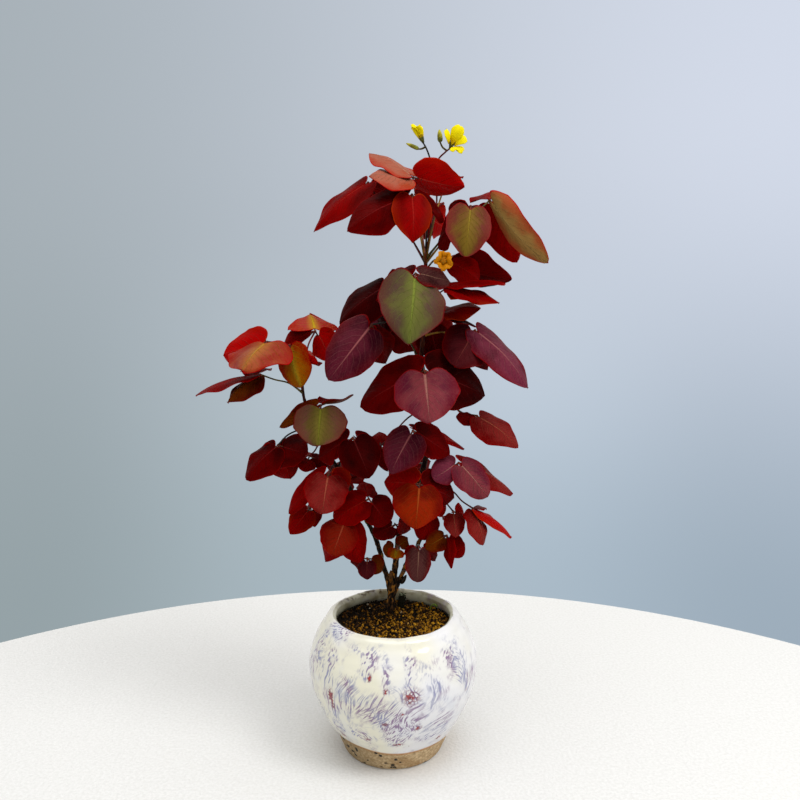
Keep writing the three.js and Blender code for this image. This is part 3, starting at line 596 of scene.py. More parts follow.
# Radii of a leaf stalk, how fast its swollen ends thin out, and its arch
STALK = {"root": 0.72, "middle": 0.36, "tip": 0.46, "root_fade": 9, "tip_fade": 12, "arch": 0.14}
FLOWER_STALK_RADII = (0.45, 0.36)
SPROUT_RADII = (0.3, 0.5)
# A stalk stops this far from its hub in the solids, and the render carries it on by the seam
HUB_CLEAR = 1.1
SEAM = 0.6
# The way a stalk comes in to its hub: over what length, and what it costs to crowd a leaflet
ARRIVAL = {"length": 7, "share": 0.4, "crowded": 0.86, "price": 12}
FLOWER_STALKS = [
    ("dark", [
        (14.5, 4, 231), (15.5, 9, 243.5), (16.3, 15, 255), (17, 17, 266), (17, 15, 275), (15, 12, 280),
        (14, 12, 281.7),
    ]),
    ("red", [
        (14.7, 4.5, 231), (17, 10, 243.5), (20, 16, 255), (20, 17, 267), (20.5, 15, 275), (23.5, 12, 278),
        (25.2, 12, 279.4),
    ]),
    ("gold", [(15, 3, 226), (18.5, -4, 230), (21.4, -12.2, 229.4)]),
    ("olive", [(14.7, 12, 280.4), (13, 12, 279.6), (11.9, 12, 279.5)]),
    ("olive", [(24.4, 12, 278.7), (22.4, 12, 280.3), (21.4, 12, 282.2)]),
]
BARK_TONES = {
    "crevice": (0.002, 0.001, 0.001), "old": (0.07, 0.03, 0.008), "flake": (0.3, 0.12, 0.015),
    "young": ((0.012, 0.001, 0.001), (0.05, 0.01, 0.003)),
    "fresh": ((0.03, 0.001, 0.001), (0.12, 0.02, 0.002)),
}
# The bark's noise is drawn out upright. Then its flakes as soft patches, and the heights in metres
# between which the flakes end, the bark turns young, and the young bark turns red
BARK_GRAIN = 0.35
BARK_FLAKES = (620, 2, 0.54, 0.61)
BARK_HEIGHTS = {"flakes": (0.13, 0.07), "young": (0.11, 0.17), "fresh": (0.18, 0.215)}
MOSS_TONES = ((0.008, 0.007, 0.003), (0.34, 0.38, 0.24))
MOSS_TOP = (0.0705, 0.063)
STALK_PATCHES = (260, 2, 0.4, 0.66)
STALK_COLOURS = {
    "dark": (0.014, 0.008, 0.004), "olive": (0.1, 0.075, 0.012), "red": (0.13, 0.006, 0.005),
    "pink": (0.4, 0.13, 0.09), "gold": (0.27, 0.13, 0.012), "rust": (0.16, 0.06, 0.008),
    "fresh": (0.14, 0.22, 0.02),
}
# A seedling that curls out of the soil by the pot's right wall
SPROUT = [(18.4, 15, 60), (18.4, 14.6, 61.8), (19.1, 14.3, 63.2), (20.4, 14.2, 63.6), (21.3, 14.2, 62.6)]

# Young shoots that have not opened: base, tip, radius and colour
SHOOTS = [
    ((-1.2, 10.4, 76.5), (-1.1, 9.6, 83), 1.3, "rust"), ((3.9, 10.8, 75.5), (6.4, 9.8, 80.5), 1.2, "dark"),
    ((3.2, 10.2, 79), (5.6, 9, 83.5), 0.9, "rust"),
]
STUB = {
    "foot": (3.2, 14.5, 60), "top": (4.4, 14.5, 69), "radius": 1.9, "top_radius": 1.425,
    "tufts": 30, "spread": [(-1.5, 1.7), (-1.5, 1), (-4, 0.6)], "tuft_radius": (0.4, 0.8), "ragged": 0.3,
}

# Each leaf: name, stem, how far up that stem, hub, colour of the stalk, and for each of the three
# leaflets the tip measured from the hub, the width, the turn about the midrib in degrees and the tissue
LEAVES = [
    ("top_cap", "leader", 0.985, (9, 2, 265.8), "pink",
     [(23, 3, -3.5, 20, 40, "scarlet"), (-19, -8, -0.5, 20, 55, "salmon"),
      (-19.5, 11, 12, 17, 60, "salmon")]),
    ("top_drop", "leader", 0.97, (8.5, -3, 258), "gold",
     [(-28, -6, -16, 22, 30, "garnet"), (0, -10, -21, 18, -18, "ruby"), (13, 5, -12, 12, -30, "garnet")]),
    ("top_far_left", "leader", 0.975, (-11, 9, 264.5), "red",
     [(-24, -7, -22, 18, 45, "crimson"), (-9, 6, -11, 16, 70, "crimson"), (6, 19, -13, 18, 20, "crimson")]),
    ("top_olive", "leader", 0.975, (34, -4, 253), "gold",
     [(-3, -10, -22, 20, 0, "olive"), (-10, 7, -19, 15, 40, "garnet"), (-5, 17, -6, 13, 0, "crimson")]),
    ("top_right", "leader", 0.985, (42.8, 1, 256), "olive",
     [(25.5, -5, -27.5, 15, 38, "fawn"), (13, 2.5, -27, 17, -10, "crimson"), (2, 18, 5, 18, 0, "crimson")]),
    ("top_back", "leader", 0.98, (25, 21, 268), "gold",
     [(0, 20, 1, 17, 0, "scarlet"), (-8, 15, 0, 13, 0, "crimson"), (4, 16, 3, 13, 0, "crimson")]),
    ("middle_green", "leader", 0.9, (10, -12, 224), "dark",
     [(-3, -14, -29.6, 30, 0, "green"), (-17, 9, -12, 18, 50, "garnet"), (14, 6, -5, 12, -45, "dusk")]),
    ("middle_dark", "leader", 0.88, (-3, 6, 219), "dark",
     [(-21, -4, -17.5, 22, 40, "maroon"), (0, 4, -23, 17, 35, "maroon"), (9, 16, -5, 17, 0, "garnet")]),
    ("right_upper", "leader", 0.92, (26, 6, 229), "red",
     [(27, -6, -7.5, 18, 35, "garnet"), (12, -7, -8, 13, -30, "crimson"), (6, 20, 4, 16, 0, "crimson")]),
    ("right_level", "leader", 0.87, (24.5, -6, 218.5), "red",
     [(25, 0, 1.5, 15, -88, "crimson"), (22, -4, -7, 15, -65, "ruby"), (12, -10, -8, 12, -70, "crimson")]),
    ("middle_purple", "leader", 0.8, (-9, -10, 202), "dark",
     [(-18, -12, -23, 22, 5, "violet"), (6, 12, -18, 18, -20, "garnet"), (-6, 20, -14, 14, 10, "crimson")]),
    ("middle_heart", "leader", 0.72, (14, -12, 182), "olive",
     [(2, -14, -21, 29, 0, "rose"), (-28.5, 8, -17.5, 23, 30, "garnet"), (28, 13, -13, 26, -25, "maroon")]),
    ("small_right", "leader", 0.62, (39, 6, 159), "olive",
     [(-11, -4, 0, 9, 15, "garnet"), (18, -10, -13, 18, -45, "brick"), (5, 13, -5, 10, 0, "crimson")]),
    ("right_small", "leader", 0.82, (23, 2, 207), "red",
     [(16, -6, 2, 14, -60, "ruby"), (14, -10, -6, 8, -85, "maroon"), (2, 16, 2, 10, 0, "crimson")]),
    ("right_mauve", "leader", 0.78, (37, 0, 199), "gold",
     [(23, -9, -25, 19, -45, "mauve"), (-10, -12, -15, 22, 10, "plum"), (7, 9, -19, 18, -35, "garnet")]),
    ("middle_behind", "leader", 0.8, (17, 10, 201), "olive",
     [(4, -5, -17, 17, -10, "garnet"), (-6, 4, -15, 14, 30, "crimson"), (12, 10, -5, 14, 0, "crimson")]),
    ("left_salmon", "left", 0.97, (-56, -3, 194), "red",
     [(-8, -18, -11, 31, 40, "amber"), (-21.5, 8, -7, 20, 30, "scarlet"), (-8, 15, -8, 14, 0, "crimson")]),
    ("left_top", "left", 0.98, (-35, 2, 198.5), "red",
     [(-4, 14, 7, 23, 0, "coral"), (-17, 6, -9, 14, 35, "crimson"), (7, 6, -14, 15, -20, "scarlet")]),
    ("left_orange", "left", 1, (-46, -4, 192.5), "dark",
     [(6, -7, -18, 17, 20, "gold"), (9, 0, -12, 10, -10, "scarlet"), (2, 8, -2, 8, 0, "crimson")]),
    ("left_low", "left", 0.93, (-60, 0, 179), "olive",
     [(-14, -6, -12, 18, 60, "umber"), (-31, 7, -11.5, 16, 88, "crimson"), (-8, 18, 2, 14, 0, "crimson")]),
    ("left_olive", "left", 0.85, (-32, -7, 166), "olive",
     [(-0.5, -10, -16.5, 24, 0, "moss"), (-17.5, 5, -12, 11, 40, "umber"), (14, 11, 3, 8, 80, "umber")]),
    ("low_far_left", "left", 0.78, (-53, 2, 146), "dark",
     [(-14, -6, -15, 17, 40, "garnet"), (14, -6, -3, 19, -35, "garnet"), (4, 8, -18, 16, -20, "crimson")]),
    ("low_small_left", "left", 0.72, (-39, 6, 140), "red",
     [(-2, -6, -6, 9, 0, "crimson"), (9, 2, -5, 8, -50, "garnet"), (-3, 12, -1, 8, 0, "crimson")]),
    ("low_dark", "left", 0.6, (-18, -6, 151), "dark",
     [(-15, 0, -10, 20, 40, "garnet"), (8, -10, -16, 19, -10, "maroon"), (15, 4, -17, 15, -30, "garnet")]),
    ("low_back_red", "leader", 0.58, (-6, 14, 143), "red",
     [(-1, 10, 5, 10, 0, "crimson"), (-5, 0, -5, 12, 0, "ruby"), (6, 8, -7, 12, 0, "crimson")]),
    ("low_crimson", "left", 0.62, (-29, -8, 135), "red",
     [(-2, -10, -16, 20, 0, "brick"), (8, 7, -11, 14, -30, "ruby"), (-18, 4, -20, 13, 30, "crimson")]),
    ("low_red", "left", 0.5, (-39, 6, 115), "red",
     [(-9, -6, -11, 12, 10, "ruby"), (2, 2, -10, 9, 0, "crimson"), (6, 11, 1, 10, 0, "crimson")]),
    ("low_orange", "left", 0.42, (-22, -6, 112), "dark",
     [(-5, -12, -12, 18, 0, "ember"), (7, -2, -19, 15, -20, "crimson"), (-10, 8, -22, 14, 30, "crimson")]),
    ("low_deep", "left", 0.45, (-11, -4, 122), "dark",
     [(9, -8, -9, 15, -10, "garnet"), (-16, -3, -9, 15, 30, "crimson"), (-3, 12, 4, 10, 0, "crimson")]),
    ("low_centre", "leader", 0.2, (1, 2, 108), "dark",
     [(-10, -6, -3, 10, 20, "garnet"), (-6, 4, -7, 8, 0, "maroon"), (5, 9, -3, 8, 0, "crimson")]),
    ("low_gold", "leader", 0.12, (2, -1, 98), "olive",
     [(-6, -4, -1, 8, 0, "umber"), (-1, -7, -3, 8, 0, "gold"), (5, 5, 3, 7, 0, "umber")]),
    ("low_petite", "left", 0.15, (-12, -2, 93), "dark",
     [(0, -6, -8, 9, 0, "plum"), (6, 2, -7, 10, -30, "umber"), (-7, 8, -4, 9, 0, "garnet")]),
    ("centre_purple", "leader", 0.5, (9, -10, 155), "dark",
     [(-10, -8, -18, 19, 15, "violet"), (16, 4, -12, 16, -35, "garnet"), (23, 14, -13, 12, -70, "crimson")]),
    ("right_purple", "right", 1, (30, -4, 139), "red",
     [(-12, -6, -6, 14, 10, "mauve"), (13, -4, -15, 16, -25, "rose"), (26, 8, -17, 14, -75, "brick")]),
    ("orange", "leader", 0.35, (12, -12, 131), "red",
     [(-2, -12, -17, 23, 0, "flame"), (-16, 8, -1, 17, 25, "ruby"), (16, 9, -9, 19, -25, "garnet")]),
    ("right_inner", "right", 0.72, (18, 4, 113), "red",
     [(-5, -6, -11, 12, 10, "crimson"), (7, 2, 3, 8, -60, "scarlet"), (-6, 10, 4, 9, 0, "crimson")]),
    ("right_drop", "right", 0.78, (28, 0, 115), "red",
     [(1, -8, -10, 10, 0, "brick"), (6, 5, -4, 8, -80, "scarlet"), (-2, 12, -6, 8, 0, "crimson")]),
    ("right_low", "right", 0.45, (25, -2, 104), "dark",
     [(-10, -4, -5, 10, 30, "umber"), (7, -4, -9, 10, -10, "crimson"), (0, -8, -13, 9, 50, "crimson")]),
    ("right_far", "right", 0.85, (37, -2, 117), "red",
     [(4, -8, -15, 13, -50, "brick"), (19, 6, -16, 12, -85, "scarlet"), (5, 16, -4, 10, 0, "crimson")]),
    ("low_purple", "right", 0.35, (12, -6, 100), "dark",
     [(-1, -8, -14, 12, 0, "dusk"), (-2, 11, -12, 11, 20, "crimson"), (6, 12, -9, 10, 0, "garnet")]),
    ("back_top", "leader", 0.93, (16, 26, 251), "red",
     [(-10, 14, -6, 18, 0, "crimson"), (10, 14, -5, 18, 0, "scarlet"), (1, 18, 6, 16, 0, "salmon")]),
    ("back_middle", "leader", 0.7, (1, 28, 200), "olive",
     [(-11, 14, -11, 22, 0, "mauve"), (13, 12, -12, 22, 0, "garnet"), (-2, 22, 6, 20, 0, "rose")]),
    ("back_heart", "leader", 0.68, (23, 28, 171), "red",
     [(-12, 14, -8, 20, 0, "garnet"), (15, 14, -2, 20, 0, "crimson"), (4, 22, 4, 18, 0, "mauve")]),
    ("back_left", "left", 0.92, (-44, 18, 183), "red",
     [(-13, 16, 2, 18, 0, "scarlet"), (7, 12, -1, 14, 0, "crimson"), (-3, 18, 5, 16, 0, "amber")]),
    ("back_low", "leader", 0.42, (7, 28, 127), "dark",
     [(-10, 14, 4, 18, 0, "crimson"), (12, 14, 2, 20, 0, "garnet"), (0, 12, -13, 18, 0, "flame")]),
    ("back_low_left", "left", 0.55, (-24, 24, 125), "dark",
     [(-10, 14, -11, 16, 0, "crimson"), (8, 14, 1, 16, 0, "brick"), (-3, 16, 5, 16, 0, "garnet")]),
]

UP = np.array([0.0, 0.0, 1.0])
FRONT = np.array([0.0, -1.0, 0.0])
LEAFLET_STALK = 1.9
# A solid's blade: its arch along the midrib, its fold at the midrib, the wave of its edge, how far
# its sides draw back at the tip, and its lobes at the base. Then where it is widest, and how wide
# it is at its base and tip
BLADE = {"bow": 0.09, "fold": 0.32, "wave": 0.035, "tuck": 0.08, "lobes": 0.1, "sweep": 0.1}
SPREAD = {"widest": 0.28, "base": 0.8, "tip": 0.2, "taper": 1.3}
# Corners of the solids' blades, by shares along and across, which the render's finer blades follow
COARSE = {
    "broad": ([0, 0.17, 0.48, 0.79], [-1, -0.5, 0, 0.5, 1]),
    "middle": ([0, 0.5], [-1, -0.5, 0, 0.5, 1]),
    "small": ([0, 0.5], [-1, 0, 1]),
}


def compass(count):
    """Directions spread evenly all round."""
    height = 1 - (2 * np.arange(count) + 1) / count
    around = np.arange(count) * math.pi * (3 - math.sqrt(5))
    level = np.sqrt(1 - height**2)
    return np.stack([level * np.cos(around), level * np.sin(around), height], 1)


COMPASS = compass(700)


def unit(way):
    return way / np.linalg.norm(way)


def leaflet_spread(along):
    """Half-width at a distance along the blade, as a share of the widest."""
    widest = SPREAD["widest"]
    low = 1 - (1 - SPREAD["base"]) * (np.clip(widest - along, 0, None) / widest) ** 2
    beyond = (np.clip(along - widest, 0, None) / (1 - widest)) ** SPREAD["taper"]
    return np.where(along < widest, low, SPREAD["tip"] + (1 - SPREAD["tip"]) * np.cos(math.pi / 2 * beyond))


def leaflet_shape(x, y, z, width, turn, _tissue):
    """The blade's own directions and sizes: along the midrib, across it and out of its upper face."""
    tip = np.array([x, y, z], float)
    axis = unit(tip)
    towards = UP if abs(axis[1]) > 0.85 else FRONT
    flat = unit(towards - towards.dot(axis) * axis)
    angle = math.radians(turn)
    face = flat * math.cos(angle) + np.cross(axis, flat) * math.sin(angle)
    length = np.linalg.norm(tip) - LEAFLET_STALK
    return {"length": length, "width": width, "axis": axis, "face": face, "side": np.cross(face, axis)}


def blade_points(shape, along, across, spread, tuck, lobes, sweep):
    """Places on a free blade, from the hub, for shares along the midrib and across it."""
    length, width = shape["length"], shape["width"]
    lobe = -lobes * np.sin(math.pi * np.abs(across)) * (1 - along) ** 3
    swept = sweep * across**2 * (1 - along) - tuck * across**2 * along**3
    half = 0.5 * width * spread(along)
    bow = 4 * BLADE["bow"] * along * (1 - along) * length
    fold = -BLADE["fold"] * half * np.abs(across) ** 1.2
    wave = BLADE["wave"] * width * np.sin(9 * along + length) * across**3
    forward = LEAFLET_STALK + (along + lobe + swept) * length
    return (
        np.multiply.outer(forward, shape["axis"])
        + np.multiply.outer(half * across, shape["side"])
        + np.multiply.outer(bow + fold + wave, shape["face"])
    )


def coarse_grid(shape):
    return COARSE["broad" if shape["width"] > 16 else "middle" if shape["width"] > 10 else "small"]


def free_corners(shape):
    """The corners of the solid's blade, before it bends clear of its neighbours; the last is its tip."""
    rows, columns = coarse_grid(shape)
    along, across = np.meshgrid(rows, columns, indexing="ij")
    along, across = np.append(along, 1.0), np.append(across, 0.0)
    return blade_points(shape, along, across, leaflet_spread, BLADE["tuck"], BLADE["lobes"], BLADE["sweep"])


def stem_line(name):
    return smooth_line(STEMS[name]["points"], per_span=12)


def place_at(line, share):
    """The place at a share of a line's length."""
    steps = np.linalg.norm(np.diff(line, axis=0), axis=1)
    run = np.concatenate([[0], np.cumsum(steps)])
    return np.array([np.interp(share * run[-1], run, line[:, k]) for k in range(3)])


def stalk_line(stem_name, share, hub, shapes):
    """A leaf stalk's line: off its stem in an arch, and in to its hub between the leaflets."""
    root = place_at(stem_line(stem_name), share)
    hub = np.array(hub, float)
    reach = np.linalg.norm(root - hub)
    ways = np.vstack([free_corners(shape) for shape in shapes])
    ways /= np.linalg.norm(ways, axis=1)[:, None]
    crowding = (COMPASS @ ways.T).max(axis=1)
    price = ARRIVAL["price"] * np.clip(crowding - ARRIVAL["crowded"], 0, None)
    way = COMPASS[(price - COMPASS @ unit(root - hub)).argmin()]
    near = hub + way * min(ARRIVAL["length"], ARRIVAL["share"] * reach)
    middle = (root + near) / 2 + UP * STALK["arch"] * reach / 2
    return smooth_line([root, middle, near, hub + way * HUB_CLEAR], per_span=7)


def lay(curve, line, radii, material_index=0):
    """Lays one round stem of changing thickness along a line."""
    spline = curve.splines.new("POLY")
    spline.points.add(len(line) - 1)
    spline.material_index = material_index
    for point, place, radius in zip(spline.points, line, radii):
        point.co = (*place, 1)
        point.radius = radius


def new_curve(name, resolution):
    curve = bpy.data.curves.new(name, "CURVE")
    curve.dimensions = "3D"
    curve.bevel_depth = 1
    curve.bevel_resolution = resolution
    curve.use_fill_caps = True
    return put(name, curve)


def as_mesh(piece):
    """The finished mesh of an object, which is then removed."""
    depsgraph = bpy.context.evaluated_depsgraph_get()
    mesh = bpy.data.meshes.new_from_object(piece.evaluated_get(depsgraph))
    bpy.data.objects.remove(piece)
    return mesh


def bark():
    material, tree, shader, place = surface("bark", roughness=0.75, gloss=0.12)
    height = split(tree, place)[2]
    grain = drawn_out(tree, place, BARK_GRAIN)
    rough = cloudy(tree, grain, 1100, 4)
    old = mixed(tree, rising(tree, rough, 0.44, 0.7), BARK_TONES["crevice"], BARK_TONES["old"])
    flakes = times(tree, patches(tree, grain, *BARK_FLAKES), rising(tree, height, *BARK_HEIGHTS["flakes"]))
    old = over(tree, old, BARK_TONES["flake"], flakes)
    smooth = rising(tree, rough, 0.4, 0.62)
    young = mixed(tree, smooth, *BARK_TONES["young"])
    fresh = mixed(tree, smooth, *BARK_TONES["fresh"])
    young = over(tree, young, fresh, rising(tree, height, *BARK_HEIGHTS["fresh"]))
    colour = over(tree, old, young, rising(tree, height, *BARK_HEIGHTS["young"]))
    dress(tree, shader, colour, rough, depth=0.0005)
    return material


def stalk_skin(name, colour):
    """The skin of a stalk, a hub or a sepal, with deeper patches of its own colour."""
    material, tree, shader, place = surface("stalk_" + name, roughness=0.5, gloss=0.15)
    deep = tuple(0.35 * value for value in colour)
    patched = mixed(tree, patches(tree, place, *STALK_PATCHES), deep, colour)
    dress(tree, shader, patched, cloudy(tree, place, 1500), depth=0.0001)
    return material


def grow_wood():
    """The trunk and the three stems, melted into one skin and roughened."""
    piece = new_curve("wood", resolution=6)
    for limb in [TRUNK, *STEMS.values()]:
        line = smooth_line(limb["points"], per_span=10)
        run = np.concatenate([[0], np.cumsum(np.linalg.norm(np.diff(line, axis=0), axis=1))])
        taper = limb["root"] + (limb["tip"] - limb["root"]) * run / run[-1]
        from_scar = ((run % SCARS["spacing"]) - SCARS["spacing"] / 2) / SCARS["width"]
        lay(piece.data, line, taper * (SCARS["between"] + SCARS["rise"] * np.exp(-(from_scar**2))))
    melted = put("melted_wood", as_mesh(piece))
    with_modifier(melted, "REMESH", mode="VOXEL", voxel_size=WOOD_VOXEL, use_smooth_shade=True)
    bm = bmesh.new()
    bm.from_mesh(melted.data)
    bpy.data.objects.remove(melted)
    for vert in bm.verts:
        place = Vector((vert.co.x, vert.co.y, vert.co.z * 0.5))
        knots = WOOD_KNOTS["coarse"] * noise.noise(place * 0.9)
        knots += WOOD_KNOTS["fine"] * noise.noise(place * 2.4)
        vert.co += vert.normal * min(1.0, max(0.35, (170 - vert.co.z) / 80)) * knots
    return bm


def colour_since(bm, before, index):
    """Gives the faces made since then one of the piece's materials."""
    for face in set(bm.faces) - before:
        face.material_index = index


def peg(bm, foot, way, length, wide, narrow, segments):
    """A round tapering peg, from its foot along a unit way."""
    turn = way.to_track_quat("Z", "Y").to_matrix().to_4x4()
    bmesh.ops.create_cone(
        bm, cap_ends=True, segments=segments, radius1=wide, radius2=narrow, depth=length,
        matrix=Matrix.Translation(foot + way * length / 2) @ turn,
    )


def pointed(bm, seat, way, length, radius, index):
    """A slim closed form that swells and comes to a point, for shoots, sepals, buds and anthers."""
    before = set(bm.faces)
    turn = way.to_track_quat("Z", "Y")
    for vert in bmesh.ops.create_uvsphere(bm, u_segments=10, v_segments=10, radius=1)["verts"]:
        up = (vert.co.z + 1) / 2
        slim = 1 - 0.45 * up**2
        vert.co = seat + turn @ Vector((vert.co.x * radius * slim, vert.co.y * radius * slim, up * length))
    colour_since(bm, before, index)


def mossy_stub(bm, moss):
    """The stub of a branch cut off long ago, overgrown with moss."""
    before = set(bm.faces)
    foot, top = Vector(STUB["foot"]), Vector(STUB["top"])
    length = (top - foot).length
    peg(bm, foot, (top - foot) / length, length, STUB["radius"], STUB["top_radius"], segments=14)
    pick = random.Random(5)
    for _ in range(STUB["tufts"]):
        place = top + Vector([pick.uniform(*limits) for limits in STUB["spread"]])
        tuft = bmesh.ops.create_icosphere(bm, subdivisions=1, radius=pick.uniform(*STUB["tuft_radius"]))
        for corner in tuft["verts"]:
            ragged = STUB["ragged"] * Vector(noise.noise_vector(corner.co * 4 + place))
            corner.co = corner.co + place + ragged
    colour_since(bm, before, moss)


def moss_skin():
    material, tree, shader, place = surface("moss", roughness=0.9, gloss=0.1)
    tuft = cloudy(tree, place, 1300, 2)
    crown = plus(tree, tuft, rising(tree, split(tree, place)[2], *MOSS_TOP))
    dress(tree, shader, mixed(tree, rising(tree, crown, 0.62, 0.48), *MOSS_TONES), tuft, depth=0.0006)
    return material


def carried_on(line, way):
    """A stalk's line, drawn on by a short piece that meets its hub or its bloom."""
    return np.vstack([line, line[-1] + SEAM * unit(way)])


def grow_stems():
    skins = list(STALK_COLOURS)
    stalks = new_curve("stalks", resolution=2)
    materials = [bark(), *[stalk_skin(name, colour) for name, colour in STALK_COLOURS.items()], moss_skin()]
    for material in materials:
        stalks.data.materials.append(material)
    for _, stem_name, share, hub, colour, leaflets in LEAVES:
        line = stalk_line(stem_name, share, hub, [leaflet_shape(*leaflet) for leaflet in leaflets])
        line = carried_on(line, np.array(hub) - line[-1])
        shares = np.linspace(0, 1, len(line))
        swell = (STALK["root"] - STALK["middle"]) * np.exp(-shares * STALK["root_fade"])
        swell += (STALK["tip"] - STALK["middle"]) * np.exp(-(1 - shares) * STALK["tip_fade"])
        lay(stalks.data, line, STALK["middle"] + swell, 1 + skins.index(colour))
    for colour, points in FLOWER_STALKS:
        line = smooth_line(points, per_span=5)
        line = carried_on(line, line[-1] - line[-2])
        lay(stalks.data, line, np.linspace(*FLOWER_STALK_RADII, len(line)), 1 + skins.index(colour))
    curl = smooth_line(SPROUT, per_span=5)
    lay(stalks.data, curl, np.linspace(*SPROUT_RADII, len(curl)), 1 + skins.index("fresh"))
    bm = grow_wood()
    bm.from_mesh(as_mesh(stalks))
    for base, tip, radius, colour in SHOOTS:
        way = Vector(tip) - Vector(base)
        pointed(bm, Vector(base), way.normalized(), way.length, radius, 1 + skins.index(colour))
    mossy_stub(bm, len(materials) - 1)
    set_down(bm, "stems_grown", materials, ["trunk_and_stems"])


grow_stems()

# Leaves
# Every leaf has three thin heart-shaped leaflets on short stalks that meet at one hub. Each blade is
# folded a little along its pale midrib, arched towards its tip and edged in a deeper red.

BLADE_THICKNESS = 0.26
BLADE_ROWS = 18
BLADE_COLUMNS = 18
MARGIN_SHARE = 0.055
# The heart shape that the finer blades have: where they are widest, how they narrow to the tip, their
# lobes at the base, how blunt the tip is, how much that differs between leaves, and small leaves less
HEART = {
    "widest": 0.23, "base": 0.9, "taper": 1.08, "lobes": 0.15, "sweep": 0.06, "tuck": 0.8, "blunt": 0.67,
    "uneven": 0.13, "small": 0.1, "small_width": 16,
}
RIPPLE = {"rise": 0.016, "edge": 0.012}
HUB = {"radius": 0.6, "wide": 0.42, "narrow": 0.3, "sunk": 0.8}
# How far leaflets stay from the plane between them, here and in the solids, and from their stalk
LEAFLET_CLEAR = 0.4
LEAFLET_CLEAR_SOLID = 0.55
STALK_CLEAR = 1.1
STALK_REACH = 26
# How much dearer it is to bend an earlier leaflet, and the stalk, than a later one
EARLIER_FIRMNESS = 3
STALK_FIRMNESS = 500
LEAST_LEAN = 0.3
SETTLE_ROUNDS = 12
BLUR_ROUNDS = 4

# Blade, second tone, midrib, margin
TISSUES = {
    # scarlet: partly the leaves' own red and partly a painted glow of light shining through the thin blade
    "scarlet": ((0.44, 0.0, 0.0), (0.34, 0.0, 0.0), (0.5, 0.03, 0.02), (0.42, 0.012, 0.0)),
    "crimson": ((0.22, 0.0, 0.0), (0.11, 0.0, 0.0), (0.32, 0.01, 0.005), (0.28, 0.0, 0.0)),
    "garnet": ((0.11, 0.0, 0.0), (0.04, 0.0, 0.0), (0.2, 0.008, 0.008), (0.2, 0.0, 0.0)),
    "maroon": ((0.04, 0.0, 0.0), (0.013, 0.0, 0.0), (0.1, 0.008, 0.008), (0.12, 0.0, 0.0)),
    "plum": ((0.066, 0.005, 0.008), (0.026, 0.0, 0.002), (0.17, 0.03, 0.025), (0.15, 0.0, 0.0)),
    "ruby": ((0.26, 0.0, 0.0), (0.16, 0.0, 0.0), (0.38, 0.015, 0.01), (0.34, 0.02, 0.0)),
    # violet: a dark purple, partly the leaf's own colour and partly a painted sheen reflecting the blue-grey
    # wall
    "violet": ((0.086, 0.006, 0.018), (0.034, 0.0, 0.006), (0.34, 0.1, 0.1), (0.16, 0.0, 0.001)),
    "dusk": ((0.08, 0.022, 0.022), (0.038, 0.006, 0.008), (0.32, 0.16, 0.11), (0.22, 0.0, 0.0)),
    # mauve: partly the leaf's own colour and partly a painted sheen reflecting the blue-grey wall
    "mauve": ((0.16, 0.018, 0.044), (0.07, 0.003, 0.016), (0.42, 0.14, 0.14), (0.2, 0.0, 0.002)),
    "rose": ((0.22, 0.034, 0.046), (0.11, 0.008, 0.026), (0.42, 0.17, 0.14), (0.24, 0.003, 0.005)),
    "brick": ((0.22, 0.016, 0.014), (0.13, 0.001, 0.002), (0.4, 0.09, 0.05), (0.26, 0.0, 0.0)),
    "salmon": ((0.4, 0.11, 0.062), (0.37, 0.045, 0.01), (0.5, 0.22, 0.13), (0.46, 0.004, 0.0)),
    "coral": ((0.42, 0.035, 0.034), (0.38, 0.01, 0.006), (0.62, 0.42, 0.015), (0.42, 0.0, 0.0)),
    "amber": ((0.35, 0.07, 0.022), (0.27, 0.01, 0.004), (0.46, 0.22, 0.02), (0.4, 0.0, 0.0)),
    "gold": ((0.28, 0.075, 0.0), (0.24, 0.01, 0.0), (0.38, 0.28, 0.015), (0.28, 0.0, 0.0)),
    "flame": ((0.26, 0.014, 0.001), (0.12, 0.003, 0.0), (0.38, 0.07, 0.012), (0.22, 0.0, 0.0)),
    "ember": ((0.19, 0.008, 0.002), (0.12, 0.001, 0.0), (0.36, 0.06, 0.025), (0.24, 0.0, 0.0)),
    "olive": ((0.16, 0.095, 0.012), (0.14, 0.026, 0.018), (0.28, 0.19, 0.02), (0.26, 0.01, 0.014)),
    "fawn": ((0.33, 0.185, 0.05), (0.34, 0.09, 0.026), (0.46, 0.3, 0.09), (0.42, 0.006, 0.006)),
    "green": ((0.118, 0.12, 0.03), (0.09, 0.05, 0.036), (0.2, 0.25, 0.035), (0.15, 0.004, 0.006)),
    "moss": ((0.125, 0.08, 0.02), (0.145, 0.054, 0.036), (0.2, 0.2, 0.02), (0.14, 0.004, 0.004)),
    "umber": ((0.13, 0.02, 0.0), (0.05, 0.002, 0.0), (0.26, 0.1, 0.01), (0.18, 0.0, 0.0)),
}
# How strongly the second tone keeps to the border and to the base, how strongly the midrib's colour
# spreads, and how glossy the satin ones are
BORDER = {"olive": 1.3, "green": 1.5, "moss": 2, "gold": 1, "fawn": 1.4}
BASE = {"flame": 1.5, "gold": 1.2, "green": 0.6}
BAND = {"coral": 0.5, "amber": 0.4, "gold": 0.5, "moss": 0.4, "green": 0.3, "olive": 0.25, "fawn": 0.2}
SATIN = {
    "violet": 0.14, "mauve": 0.14, "amber": 0.2, "rose": 0.12, "salmon": 0.14, "plum": 0.08, "green": 0.1,
    "olive": 0.1, "fawn": 0.1,
}
UNDERSIDE = ((0.18, 0.003, 0.006), (0.1, 0.0, 0.0), (0.28, 0.04, 0.035), (0.24, 0.0, 0.0))
